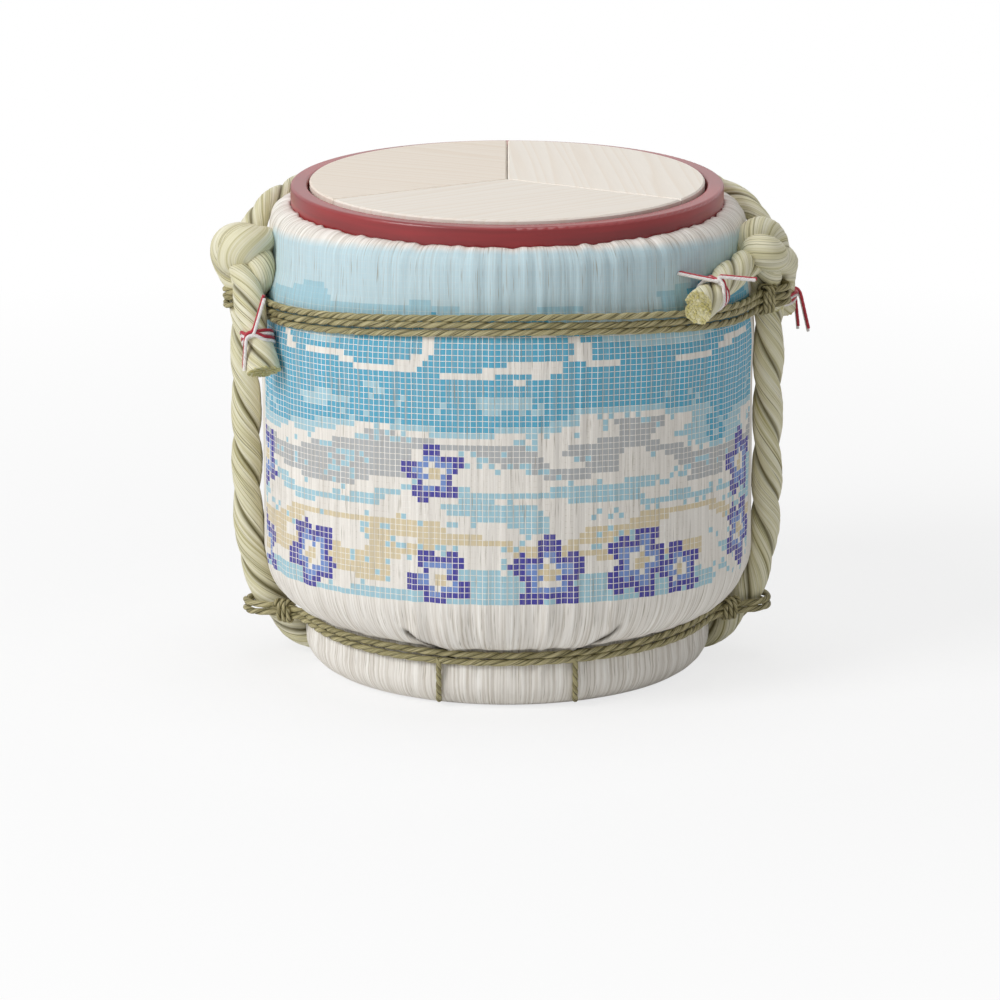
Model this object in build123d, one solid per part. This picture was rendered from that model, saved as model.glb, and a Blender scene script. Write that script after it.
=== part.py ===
from build123d import *
import os
from math import acos, atan2, cos, degrees, pi, radians, sin, sqrt, tan

# A small cedar tub with a split lid, wrapped in a straw mat and bound with straw rope.
# Millimetres, +Z up, the front towards -Y, the origin on the floor under the middle of the tub.

# Clearances
FIT = 0.3                  # between pieces that were driven or pressed together
TURN_GAP = 0.5             # between neighbouring turns of one rope

# Lid and rim hoop
LID_TOP = 220.0            # height of the lid's face above the floor
LID_RADIUS = 88.0
LID_THICKNESS = 10.0
LID_SECTORS = 3
LID_FIRST_SEAM = 90.0      # degrees, from the centre straight to the back
LID_ARRIS = 0.7            # broken edge round each sector's face
SEAM_WIDTH = 0.4
LID_PLAY = 1.0             # round the lid, inside the rim hoop
LID_PROUD = 1.5            # lid's face above the rim hoop
RIM_WALL = 7.5
RIM_HEIGHT = 22.0
RIM_ROUND = 1.4
RIM_SHOW = 8.5             # height of rim hoop that stands out of the mat

# Coopered tub
STAVE_COUNT = 18
STAVE_THICKNESS = 10.0
TUB_TAPER = 1.8            # degrees, narrower at the foot
HEAD_THICKNESS = 9.0       # bottom boards
HEAD_LIFT = 12.0           # under the bottom boards, down to the stave ends
HEAD_BOARDS = 4
CROZE_DEPTH = 4.0          # groove in the staves that holds the bottom
DOWEL_RADIUS = 2.0
DOWEL_LENGTH = 18.0
DOWEL_SPREAD = 34.0        # dowels from the middle of each joint
DOWEL_FIT = 0.1
HOOP_WALL = 6.0
HOOP_LIP = 3.2             # flat edge of a hoop before its round back starts
HOOP_HEIGHT = 12.0
HOOP_LOW = 42.0            # height of the lowest hoop's foot
HOOP_COUNT = 3

# Straw mat and the padding under it
MAT_THICKNESS = 4.0
SHOULDER_SPREAD = 9.5      # mat's shoulder beyond the rim hoop
TOP_DRAW = 4.0             # mat narrower above the upper waist rope than at its belly
DRAW_FOOT = 172.0          # where it starts to narrow
DRAW_RISE = 14.0
HEM_THICKNESS = 9.0        # mat rolled double against the rim hoop
BASE_RADIUS = 76.0         # ring that the barrel stands on
BASE_OPENING = 44.0        # radius left open under the tub
BASE_FOLD = 15.0           # thickness of the mat folded under the tub
SKIRT_TOP = 16.0           # where the rounded edge of the base ends
WAIST_DRAW = 1.2           # mat drawn in over the tub by the lower waist rope
BELLY_FOOT = 55.0          # where the belly becomes upright
BELLY_ROUND = 25.0
PAD_LOW = 58.0
PAD_SHOULDER = 5.0

# Straw ropes
SIDE_ROPE_RADIUS = 7.0
SIDE_ROPE_LIFT = 0.3       # under the rope, where it crosses the base
SIDE_BEND = 52.0           # height where the side rope leaves the belly
SIDE_TUCK = 108.0          # radius where it turns in
SIDE_TUCK_HEIGHT = 26.0
SIDE_FOOT = 91.0           # radius where it goes under the base
SHOULDER_ROPE_RADIUS = 5.8
SHOULDER_SINK = 2.8        # rope's middle below the lid's seat at the back
KNOT_ROPE_RADIUS = 6.4
KNOT_TIGHT = 0.5           # the wrapping bight of a knot is this much thinner
KNOT_FOOT = 166.0          # height where the side rope enters its knot, under the waist rope
WAIST_ROPE_RADIUS = 1.4
UPPER_TURNS = 3
UPPER_HEIGHT = 179.0       # middle of the upper turns, at the front
UPPER_DROOP = 11.5         # the same turns are this much lower at the sides
LOWER_TURNS = 2
LOWER_HEIGHT = 24.5
LOWER_BUMP_OUT = 1.0       # middle of the lower turns' swell, outside the side rope's turn
LOWER_BUMP_ROOM = 0.8      # more room in that swell, as the side rope slants there
SWEEP_IN = 28.0            # radius of a waist rope where it leaves the mat for the side rope
FRAP_RADIUS = 1.05
FRAP_TURNS = 3
FRAP_PLACE = 0.64          # share of the way from the mat to the side rope
LACING_RADIUS = 1.3
LACING_OFFSET = 30.0       # lacing cords left and right of the middle
LACING_TURN = 7.0          # inside the skirt, where a cord comes to lie under the base
LACING_RISE = 12.0         # outside the side rope, where it rises again
LACING_END = 1.5           # its end, from the side rope

# Red and white ties round the rope tails
TIE_RADIUS = 0.7
TIE_STEP = 1.9             # between the red and the white cord
TIE_FREE = 17.0            # free ends of a tie

# Sizes that follow from those above
RIM_BORE = LID_RADIUS + LID_PLAY
RIM_RADIUS = RIM_BORE + RIM_WALL
RIM_TOP = LID_TOP - LID_PROUD
RIM_FOOT = RIM_TOP - RIM_HEIGHT
STAVE_TOP = LID_TOP - LID_THICKNESS
STAVE_FOOT = BASE_FOLD
TUB_RADIUS = RIM_BORE - FIT
HEM_TOP = RIM_TOP - RIM_SHOW
HEM_RADIUS = RIM_RADIUS + FIT
TOP_RADIUS = RIM_RADIUS + SHOULDER_SPREAD
BODY_RADIUS = TOP_RADIUS + TOP_DRAW
WAIST_RADIUS = TUB_RADIUS + MAT_THICKNESS - WAIST_DRAW
SHOULDER_ROUND = TOP_RADIUS - HEM_RADIUS
SHOULDER_FOOT = HEM_TOP - SHOULDER_ROUND
SIDE_ROPE_REACH = BODY_RADIUS + FIT + SIDE_ROPE_RADIUS
KNOT_WRAP_RADIUS = KNOT_ROPE_RADIUS - KNOT_TIGHT
TURN_PITCH = 2 * WAIST_ROPE_RADIUS + TURN_GAP
FRAP_PITCH = 2 * FRAP_RADIUS + TURN_GAP


def tub_outside(height):
    """Outer radius of the staves at a height."""
    return TUB_RADIUS - (STAVE_TOP - height) * tan(radians(TUB_TAPER))


def tub_inside(height):
    return tub_outside(height) - STAVE_THICKNESS


def turned(outline, arc=360):
    """Solid of revolution from a closed outline of radius and height."""
    return revolve(Plane.XZ * make_face(outline), axis=Axis.Z, revolution_arc=arc)


def tube(path, radius):
    """Round rope along a path; its volume is compared with section times length."""
    start = Plane(origin=path @ 0, z_dir=path % 0)
    rope = sweep(start * Circle(radius), path=path)
    ratio = rope.volume / (pi * radius ** 2 * path.length)
    print(f"  tube radius {radius:.2f}, length {path.length:.1f}, volume ratio {ratio:.4f}")
    return rope


def tangent_edge(start, end, way):
    """Arc, or line where it is straight, that leaves its start along a direction."""
    chord = end - start
    if way.cross(chord).length < 1e-6 * chord.length:
        return Line(start, end)
    return TangentArc(start, end, tangent=way)


def biarc(start, start_way, end, end_way):
    """Two tangent arcs between two points with given directions."""
    chord = end - start
    along = chord.dot(start_way + end_way)
    bend = 2 * (1 - start_way.dot(end_way))
    if bend < 1e-9:
        reach = chord.dot(chord) / (2 * along)
    else:
        reach = (sqrt(along ** 2 + bend * chord.dot(chord)) - along) / bend
    corner = start + start_way * reach
    other = end - end_way * reach
    middle = (corner + other) * 0.5
    joined = (other - corner).normalized()
    return [tangent_edge(start, middle, start_way), tangent_edge(middle, end, joined)]


def chain(stations):
    """Path of biarcs through (point, direction) stations."""
    edges = []
    for (start, start_way), (end, end_way) in zip(stations, stations[1:]):
        edges += biarc(start, start_way, end, end_way)
    return Wire(edges)


def route(points):
    """Straight runs joined by arcs as large as the runs allow."""
    points = [Vector(*point) for point in points]
    radii = []
    for before, here, after in zip(points, points[1:], points[2:]):
        turn = (here - before).get_angle(after - here)
        run = min((here - before).length, (after - here).length)
        radii.append(0.45 * run / tan(radians(turn / 2)))
    print("  arc radii", [round(radius, 1) for radius in radii])
    return Wire(FilletPolyline(*points, radius=radii).edges())


def winding(loop, length, turns, drift, radius, name):
    """One unbroken tube: a closed loop of (point, direction, distance along) repeated with a drift.

    Its ends run straight for one diameter, and its least gap to itself is measured and printed.
    """
    stations = []
    for turn in range(turns):
        for point, way, along in loop:
            share = turn + along / length
            stations.append((point + drift * share, (way + drift * (1 / length)).normalized()))
    point, way, _ = loop[0]
    stations.append((point + drift * turns, (way + drift * (1 / length)).normalized()))
    first, first_way = stations[0]
    last, last_way = stations[-1]
    stations.insert(0, (first - first_way * 2 * radius, first_way))
    stations.append((last + last_way * 2 * radius, last_way))
    path = chain(stations)
    print(f"  {name}: least gap to itself {least_gap(path, turns, radius):.2f}")
    return tube(path, radius)


def least_gap(path, turns, radius):
    """Least distance between neighbouring turns of a winding, less its diameter."""
    per_turn = 240
    count = per_turn * turns
    points = [path @ (step / count) for step in range(count + 1)]
    gaps = []
    for step in range(count + 1 - per_turn):
        for other in range(step + per_turn - 8, min(step + per_turn + 9, count + 1)):
            gaps.append((points[step] - points[other]).length - 2 * radius)
    return min(gaps, default=99.0)


def arc_stations(centre, radius, start, end, along):
    """Start station of an arc in the plane, from angle to angle, and its length."""
    sense = 1 if end > start else -1
    point = Vector(centre + radius * cos(start), radius * sin(start), 0)
    way = Vector(-sin(start), cos(start), 0) * sense
    return (point, way, along), radius * abs(end - start)


def save(name, shape):
    export_step(shape, f"parts/{name}.step")
    print(f"{name}: {len(shape.solids())} solid(s), {shape.volume:.0f} mm3")


# Staves: one wedge with a groove for the bottom, repeated round the tub

def make_stave():
    head_top = STAVE_FOOT + HEAD_LIFT + HEAD_THICKNESS + FIT
    head_foot = STAVE_FOOT + HEAD_LIFT
    groove = tub_inside(head_foot) + CROZE_DEPTH
    outline = Polyline(
        (tub_inside(STAVE_FOOT), STAVE_FOOT),
        (tub_outside(STAVE_FOOT), STAVE_FOOT),
        (tub_outside(STAVE_TOP), STAVE_TOP),
        (tub_inside(STAVE_TOP), STAVE_TOP),
        (tub_inside(head_top), head_top),
        (groove, head_top),
        (groove, head_foot),
        (tub_inside(head_foot), head_foot),
        close=True,
    )
    return turned(outline, 360 / STAVE_COUNT)


# Bottom boards, side by side, pinned with bamboo dowels

def make_head():
    foot = STAVE_FOOT + HEAD_LIFT
    radius = tub_inside(foot) + CROZE_DEPTH - FIT
    width = 2 * radius / HEAD_BOARDS
    middle = foot + HEAD_THICKNESS / 2
    disc = Pos(0, 0, middle) * Cylinder(radius, HEAD_THICKNESS)
    seams = [-radius + width * (number + 1) for number in range(HEAD_BOARDS - 1)]
    holes = []
    dowels = []
    for seam in seams:
        for side in (-1, 1):
            place = Pos(seam, side * DOWEL_SPREAD, middle) * Rot(0, 90, 0)
            holes.append(place * Cylinder(DOWEL_RADIUS + DOWEL_FIT, DOWEL_LENGTH + DOWEL_FIT))
            dowels.append(place * Cylinder(DOWEL_RADIUS, DOWEL_LENGTH))
    boards = []
    for number in range(HEAD_BOARDS):
        centre = -radius + width * (number + 0.5)
        slab = Pos(centre, 0, middle) * Box(width, 2 * radius + 2, HEAD_THICKNESS)
        boards.append((disc & slab) - holes)
    return boards, dowels


# Bamboo hoops on the taper of the tub; the top one carries the rim hoop

def make_hoop(foot):
    top = foot + HOOP_HEIGHT
    middle = foot + HOOP_HEIGHT / 2
    low = tub_outside(foot) + FIT
    high = tub_outside(top) + FIT
    back = ThreePointArc(
        (low + HOOP_LIP, foot),
        (tub_outside(middle) + FIT + HOOP_WALL, middle),
        (high + HOOP_LIP, top),
    )
    sides = Polyline((high + HOOP_LIP, top), (high, top), (low, foot), (low + HOOP_LIP, foot))
    return turned([back, *sides.edges()])


def make_rim():
    outline = Polyline(
        (RIM_BORE, RIM_FOOT), (RIM_RADIUS, RIM_FOOT), (RIM_RADIUS, RIM_TOP), (RIM_BORE, RIM_TOP), close=True
    )
    rim = turned(outline)
    edges = rim.edges().filter_by(GeomType.CIRCLE).group_by(Axis.Z)[-1]
    return fillet(edges, RIM_ROUND)


# Lid: sectors that meet at the centre, each with a broken edge round its face

def make_lid_sector(number):
    spread = 360 / LID_SECTORS
    bisector = LID_FIRST_SEAM + spread * (number + 0.5)
    back_off = SEAM_WIDTH / 2 / sin(radians(spread / 2))
    disc = Pos(0, 0, STAVE_TOP + LID_THICKNESS / 2) * Cylinder(LID_RADIUS, LID_THICKNESS)
    reach = 4 * LID_RADIUS
    half = radians(spread / 2)
    wedge = make_face(
        Polyline(
            (back_off, 0),
            (back_off + reach * cos(half), -reach * sin(half)),
            (back_off + reach, 0),
            (back_off + reach * cos(half), reach * sin(half)),
            close=True,
        )
    )
    prism = Rot(0, 0, bisector) * Pos(0, 0, STAVE_TOP) * extrude(wedge, LID_THICKNESS)
    sector = disc & prism
    return chamfer(sector.edges().group_by(Axis.Z)[-1], LID_ARRIS)


# Straw padding packed between the hoops and the mat

def make_padding():
    outside = BODY_RADIUS - MAT_THICKNESS - FIT
    narrow = TOP_RADIUS - MAT_THICKNESS - FIT
    clear = HOOP_WALL + 2 * FIT
    top = RIM_FOOT - FIT
    outline = Polyline(
        (tub_outside(PAD_LOW) + clear, PAD_LOW),
        (outside, PAD_LOW),
        (outside, DRAW_FOOT),
        (narrow, DRAW_FOOT + DRAW_RISE),
        (narrow, top - PAD_SHOULDER),
        (narrow - PAD_SHOULDER, top),
        (tub_outside(top) + clear, top),
        close=True,
    )
    return turned(outline)


# Straw mat: folded under the base, drawn in at the lower waist, rolled over at the shoulder

def make_mat(shoulder_route):
    belly = BODY_RADIUS - BELLY_ROUND
    waist_out = BELLY_FOOT - sqrt(BELLY_ROUND ** 2 - (WAIST_RADIUS - belly) ** 2)
    inner_round = BELLY_ROUND - MAT_THICKNESS
    inner_waist = WAIST_RADIUS - MAT_THICKNESS
    waist_in = BELLY_FOOT - sqrt(inner_round ** 2 - (inner_waist - belly) ** 2)
    inside = BODY_RADIUS - MAT_THICKNESS
    narrow = TOP_RADIUS - MAT_THICKNESS
    drawn = DRAW_FOOT + DRAW_RISE
    low = radians(-45)
    outer_mid = (belly + BELLY_ROUND * cos(low), BELLY_FOOT + BELLY_ROUND * sin(low))
    inner_mid = (belly + inner_round * cos(low), BELLY_FOOT + inner_round * sin(low))
    shoulder_mid = (
        HEM_RADIUS + SHOULDER_ROUND * cos(radians(45)),
        SHOULDER_FOOT + SHOULDER_ROUND * sin(radians(45)),
    )
    hem_under = HEM_TOP - HEM_THICKNESS
    hem_slope = hem_under - (narrow - HEM_RADIUS)
    outline = [
        Line((BASE_OPENING, 0), (BASE_RADIUS, 0)),
        TangentArc((BASE_RADIUS, 0), (WAIST_RADIUS, SKIRT_TOP), tangent=(1, 0)),
        Line((WAIST_RADIUS, SKIRT_TOP), (WAIST_RADIUS, waist_out)),
        ThreePointArc((WAIST_RADIUS, waist_out), outer_mid, (BODY_RADIUS, BELLY_FOOT)),
        Line((BODY_RADIUS, BELLY_FOOT), (BODY_RADIUS, DRAW_FOOT)),
        Line((BODY_RADIUS, DRAW_FOOT), (TOP_RADIUS, drawn)),
        Line((TOP_RADIUS, drawn), (TOP_RADIUS, SHOULDER_FOOT)),
        ThreePointArc((TOP_RADIUS, SHOULDER_FOOT), shoulder_mid, (HEM_RADIUS, HEM_TOP)),
        Line((HEM_RADIUS, HEM_TOP), (HEM_RADIUS, hem_under)),
        Line((HEM_RADIUS, hem_under), (narrow, hem_slope)),
        Line((narrow, hem_slope), (narrow, drawn)),
        Line((narrow, drawn), (inside, DRAW_FOOT)),
        Line((inside, DRAW_FOOT), (inside, BELLY_FOOT)),
        ThreePointArc((inside, BELLY_FOOT), inner_mid, (inner_waist, waist_in)),
        Line((inner_waist, waist_in), (inner_waist, BASE_FOLD)),
        Line((inner_waist, BASE_FOLD), (BASE_OPENING, BASE_FOLD)),
        Line((BASE_OPENING, BASE_FOLD), (BASE_OPENING, 0)),
    ]
    mat = turned(outline)
    return mat - side_rope_channel() - lacing_channels() - tube(shoulder_route, SHOULDER_ROPE_RADIUS + FIT)


def side_rope_channel():
    """Arched way under the base for the side rope, open at both sides of the skirt."""
    half = SIDE_ROPE_RADIUS + 2 * FIT
    crown = SKIRT_TOP + 1.5 * FIT + half / 2
    spring = crown - half
    arch = Pos(0, spring / 2) * Rectangle(2 * half, spring) + Pos(0, spring) * Circle(half)
    return extrude(Plane.YZ * arch, SIDE_ROPE_REACH, both=True)


def lacing_channels():
    """Shallow grooves under the base for the lacing cords."""
    width = 2 * (LACING_RADIUS + FIT)
    depth = 2 * LACING_RADIUS + 2 * FIT
    groove = Box(width, 2 * WAIST_RADIUS, depth)
    return [Pos(side * LACING_OFFSET, 0, depth / 2) * groove for side in (-1, 1)]


# Side rope: up one side, down the other and under the base

def side_rope_path():
    half = [
        (SIDE_ROPE_REACH, 0, KNOT_FOOT),
        (SIDE_ROPE_REACH, 0, SIDE_BEND),
        (SIDE_TUCK, 0, SIDE_TUCK_HEIGHT),
        (SIDE_FOOT, 0, SIDE_ROPE_RADIUS + SIDE_ROPE_LIFT),
    ]
    mirrored = [(-x, y, z) for x, y, z in reversed(half)]
    return route(half + mirrored)


# Shoulder rope: behind the rim hoop, then out over the shoulder to both knots

def shoulder_rope_path():
    reach = RIM_RADIUS + FIT + SHOULDER_ROPE_RADIUS
    height = STAVE_TOP - SHOULDER_SINK + 2 * FIT
    leave = radians(28)
    out, front, up = KNOT_ENTRY
    out_way, front_way, up_way = KNOT_ENTRY_WAY
    right = [
        (Vector(0, reach, height), Vector(1, 0, 0)),
        (Vector(reach * cos(leave), reach * sin(leave), height), Vector(sin(leave), -cos(leave), 0)),
        (Vector(out, -front, up), Vector(out_way, -front_way, up_way).normalized()),
    ]
    left = [(Vector(-p.X, p.Y, p.Z), Vector(w.X, -w.Y, -w.Z)) for p, w in reversed(right[1:])]
    return chain(left + right)


# Knots: bights of the side rope and the shoulder rope, drawn together, with a front and a rear tail.
# Points are out from the middle, towards the front, and up. The shoulder rope enters both alike.

KNOT_ENTRY = (114.5, -8.0, 195.0)
KNOT_ENTRY_WAY = (0.35, 0.65, -0.65)
RISE_RUN = 8.0             # straight part above the foot of a knot
ENTRY_RUN = 7.0            # straight part of the shoulder rope inside a knot


def beyond_entry(distance):
    """Point inside a knot, straight on from where the shoulder rope enters it."""
    length = sqrt(sum(part ** 2 for part in KNOT_ENTRY_WAY))
    return tuple(place + way * distance / length for place, way in zip(KNOT_ENTRY, KNOT_ENTRY_WAY))


KNOT_RISE = [(SIDE_ROPE_REACH, 0, KNOT_FOOT), (SIDE_ROPE_REACH, 0, KNOT_FOOT + RISE_RUN)]
KNOT_STAND = [KNOT_ENTRY, beyond_entry(ENTRY_RUN)]

LEFT_LOOP = KNOT_RISE + [
    (124, -1, 182.5), (127, 1, 191), (124.5, 7.5, 198.5), (117.5, 17, 198), (111.8, 28, 194.5),
    (109, 36.5, 188), (110.5, 39, 179), (118, 32.5, 173.5),
]
LEFT_TAIL = [(119, 17, 193), (117.5, 28, 187.5), (115, 38, 178.5), (112, 44, 166.5), (107.5, 49, 145)]
LEFT_REAR = [(121, 0, 189.5), (121.5, -12, 183), (120, -24, 173), (118, -32.5, 158)]
LEFT_STAND = KNOT_STAND + [(120.5, 4, 183.5)]

RIGHT_LOOP = KNOT_RISE + [
    (121.5, 5.5, 188), (119.8, 12, 199), (113.8, 22, 202), (109.3, 32, 195.5), (103.5, 47, 189.5),
    (93.5, 67, 186), (84.6, 87.4, 181.6),
]
RIGHT_WRAP = [
    (109.8, 32.5, 197.5), (118.3, 31.8, 190), (123.8, 20.5, 187), (125.8, 7, 186.5), (126.2, -7, 183.5),
    (126, -18, 174), (124.5, -24, 157),
]
RIGHT_STAND = KNOT_STAND + [(120.5, 4, 186)]


def at_side(points, side):
    """Points of a knot moved to the left (-1) or right (1) of the barrel."""
    return [(side * out, -front, up) for out, front, up in points]


def make_knot(side, loop, wraps, stand):
    pieces = [tube(route(at_side(points, side)), KNOT_WRAP_RADIUS) for points in wraps]
    pieces.append(tube(route(at_side(stand, side)), SHOULDER_ROPE_RADIUS))
    return tube(route(at_side(loop, side)), KNOT_ROPE_RADIUS).fuse(*pieces)


# Waist ropes: turns round the mat that swell out over both side ropes

def waist_loop(reach, bump, bump_radius, droop):
    """One turn seen from above, from the back and leftwards, as stations for a winding."""
    hollow = SWEEP_IN
    gap = reach + hollow
    near = bump_radius + hollow
    leave = acos((gap ** 2 + bump ** 2 - near ** 2) / (2 * gap * bump))
    hollow_x = gap * cos(leave)
    hollow_y = gap * sin(leave)
    climb = atan2(hollow_y, hollow_x - bump)
    half = radians(180)
    stations = []
    along = 0.0

    def add(centre, radius, start, end):
        nonlocal along
        station, length = arc_stations(centre, radius, start, end, along)
        stations.append(station)
        along += length

    def add_hollow(side_x, side_y, start, end):
        nonlocal along
        point = Vector(side_x * hollow_x + hollow * cos(start), side_y * hollow_y + hollow * sin(start), 0)
        stations.append((point, Vector(sin(start), -cos(start), 0), along))
        along += hollow * abs(end - start)

    add(0, reach, half / 2, half - leave)
    add_hollow(-1, 1, -leave, -climb)
    add(-bump, bump_radius, half - climb, half)
    add(-bump, bump_radius, half, half + climb)
    add_hollow(-1, -1, climb, leave)
    add(0, reach, half + leave, 1.5 * half)
    add(0, reach, 1.5 * half, 2 * half - leave)
    add_hollow(1, -1, half - leave, half - climb)
    add(bump, bump_radius, -climb, 0)
    add(bump, bump_radius, 0, climb)
    add_hollow(1, 1, half + climb, half + leave)
    add(0, reach, leave, half / 2)

    drooped = []
    for point, way, distance in stations:
        square = point.X ** 2 + point.Y ** 2
        swing = (point.X * way.Y - point.Y * way.X) / square
        slope = droop * 2 * point.X * point.Y / square * swing
        sag = droop * point.X ** 2 / square
        drooped.append((point - Vector(0, 0, sag), way + Vector(0, 0, slope), distance))
    return drooped, along, leave, climb


def make_waist_rope(height, turns, reach, bump, bump_radius, droop, name):
    loop, length, leave, climb = waist_loop(reach, bump, bump_radius, droop)
    start = Vector(0, 0, height - TURN_PITCH * turns / 2)
    loop = [(point + start, way, along) for point, way, along in loop]
    rope = winding(loop, length, turns, Vector(0, 0, TURN_PITCH), WAIST_ROPE_RADIUS, name)
    return rope, leave, climb


# Frapping: a thin cord wound round the waist rope's turns where they leave the mat

def make_frapping(height, turns, reach, leave, climb, side, front):
    """Coil at the left (-1) or right (1), in front of (-1) or behind (1) the side rope."""
    slant = leave + (climb - leave) * FRAP_PLACE
    hollow = Vector(cos(leave), sin(leave), 0) * (reach + SWEEP_IN)
    middle = hollow - Vector(cos(slant), sin(slant), 0) * SWEEP_IN
    outward = Vector(side * cos(slant), front * sin(slant), 0)
    onward = Vector(-side * sin(slant), front * cos(slant), 0)
    share = 0.5 + side * 0.25 + side * front * leave / (2 * pi)
    middle = Vector(side * middle.X, front * middle.Y, height + TURN_PITCH * (share - 0.5))
    up = Vector(0, 0, 1)
    width = WAIST_ROPE_RADIUS + FRAP_RADIUS + FIT
    straight = TURN_PITCH * (turns - 1) / 2
    bow = pi * width / 2
    corners = [
        (outward * width - up * straight, up, 0.0),
        (outward * width + up * straight, up, 2 * straight),
        (up * (straight + width), outward * -1, 2 * straight + bow),
        (outward * -width + up * straight, up * -1, 2 * straight + 2 * bow),
        (outward * -width - up * straight, up * -1, 4 * straight + 2 * bow),
        (up * -(straight + width), outward, 4 * straight + 3 * bow),
    ]
    start = middle - onward * (FRAP_PITCH * FRAP_TURNS / 2)
    loop = [(start + point, way, along) for point, way, along in corners]
    length = 4 * straight + 4 * bow
    return winding(loop, length, FRAP_TURNS, onward * FRAP_PITCH, FRAP_RADIUS, "frapping")


# Ties: a cord once round a rope tail, with two free ends

def make_tie(tail, tail_radius, side, back_from_end, shift, face):
    """Cord round a tail, a distance back from its end; face is where its free ends cross."""
    points = [Vector(*point) for point in at_side(tail, side)]
    axis = (points[-1] - points[-2]).normalized()
    middle = points[-1] - axis * (back_from_end - shift)
    facing = Vector(*face)
    facing = (facing - axis * facing.dot(axis)).normalized()
    across = axis.cross(facing)
    radius = tail_radius + TIE_RADIUS + FIT
    rise = 2 * TIE_STEP
    quarter = pi * radius / 2
    spokes = [facing, across, facing * -1, across * -1]
    ring = [(spokes[step % 4], spokes[(step + 1) % 4]) for step in range(5)]
    stations = []
    for number, (spoke, way) in enumerate(ring):
        climb = axis * (rise * (number / 4 - 0.5))
        heading = (way * (4 * quarter) + axis * rise).normalized()
        stations.append((middle + spoke * radius + climb, heading))
    first, first_way = stations[0]
    last, last_way = stations[-1]
    stations.insert(0, (first - first_way * TIE_FREE, first_way))
    stations.append((last + last_way * TIE_FREE, last_way))
    return tube(chain(stations), TIE_RADIUS)


# Lacing: thin cords from the lower waist rope down the skirt and under the base to the side rope

def make_lacing(side, front):
    low = LACING_RADIUS + FIT
    skirt = sqrt(WAIST_RADIUS ** 2 - LACING_OFFSET ** 2) + LACING_RADIUS + 2 * FIT
    share = (degrees(atan2(front * skirt, side * LACING_OFFSET)) - 90) % 360 / 360
    rope = LOWER_HEIGHT + TURN_PITCH * (share - LOWER_TURNS / 2)
    points = [
        (skirt, rope - WAIST_ROPE_RADIUS - FIT),
        (skirt - FIT, SKIRT_TOP * 0.6),
        (skirt - LACING_TURN / 3, SKIRT_TOP * 0.3),
        (skirt - LACING_TURN, low),
        (SIDE_ROPE_RADIUS + LACING_RISE, low),
        (SIDE_ROPE_RADIUS + FIT + LACING_END, SIDE_ROPE_RADIUS),
    ]
    return tube(route([(side * LACING_OFFSET, front * y, z) for y, z in points]), LACING_RADIUS)


def main():
    os.makedirs("parts", exist_ok=True)

    stave = make_stave()
    for number in range(STAVE_COUNT):
        turn = Rot(0, 0, 360 / STAVE_COUNT * (number + 0.5))
        save(f"stave_{number + 1:02d}", turn * stave)

    boards, dowels = make_head()
    for number, board in enumerate(boards):
        save(f"bottom_board_{number + 1}", board)
    save("bottom_dowels", Compound(children=dowels))

    high = RIM_FOOT - HOOP_HEIGHT
    for number, name in enumerate(("lower", "middle", "upper")):
        foot = HOOP_LOW + (high - HOOP_LOW) * number / (HOOP_COUNT - 1)
        save(f"{name}_hoop", make_hoop(foot))
    save("rim_hoop", make_rim())

    for number, name in enumerate(("left", "front", "right")):
        save(f"lid_sector_{name}", make_lid_sector(number))

    side_route = side_rope_path()
    shoulder_route = shoulder_rope_path()
    save("straw_padding", make_padding())
    save("straw_mat", make_mat(shoulder_route))
    save("side_rope", tube(side_route, SIDE_ROPE_RADIUS))
    save("shoulder_rope", tube(shoulder_route, SHOULDER_ROPE_RADIUS))

    save("left_knot", make_knot(-1, LEFT_LOOP, [LEFT_TAIL, LEFT_REAR], LEFT_STAND))
    save("right_knot", make_knot(1, RIGHT_LOOP, [RIGHT_WRAP], RIGHT_STAND))

    clear = WAIST_ROPE_RADIUS + FIT
    upper = (UPPER_TURNS, BODY_RADIUS + clear, SIDE_ROPE_REACH, SIDE_ROPE_RADIUS + clear, UPPER_DROOP)
    swell = SIDE_ROPE_RADIUS + clear + LOWER_BUMP_ROOM
    lower = (LOWER_TURNS, WAIST_RADIUS + clear, SIDE_TUCK + LOWER_BUMP_OUT, swell, 0.0)
    for name, height, (turns, reach, bump, bump_radius, droop) in (
        ("upper", UPPER_HEIGHT, upper),
        ("lower", LOWER_HEIGHT, lower),
    ):
        rope, leave, climb = make_waist_rope(height, turns, reach, bump, bump_radius, droop, name)
        save(f"{name}_waist_rope", rope)
        for side, hand in ((-1, "left"), (1, "right")):
            sizes = (height - droop, turns, reach, leave, climb, side)
            coils = [make_frapping(*sizes, front) for front in (-1, 1)]
            save(f"{name}_frapping_{hand}", Compound(children=coils))

    lacings = [make_lacing(side, front) for side in (-1, 1) for front in (-1, 1)]
    save("base_lacing", Compound(children=lacings))

    ties = [
        ("left_front", LEFT_TAIL, KNOT_WRAP_RADIUS, -1, 14.0, (-0.6, -0.8, 0.2)),
        ("left_rear", LEFT_REAR, KNOT_WRAP_RADIUS, -1, 8.0, (-1.0, 0.0, 0.0)),
        ("right_front", RIGHT_LOOP, KNOT_ROPE_RADIUS, 1, 13.0, (0.3, -0.5, 0.8)),
        ("right_rear", RIGHT_WRAP, KNOT_WRAP_RADIUS, 1, 8.0, (1.0, 0.0, 0.0)),
    ]
    for name, tail, tail_radius, side, back, face in ties:
        save(f"{name}_tie_red", make_tie(tail, tail_radius, side, back, 0.0, face))
        save(f"{name}_tie_white", make_tie(tail, tail_radius, side, back, TIE_STEP, face))


main()
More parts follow.
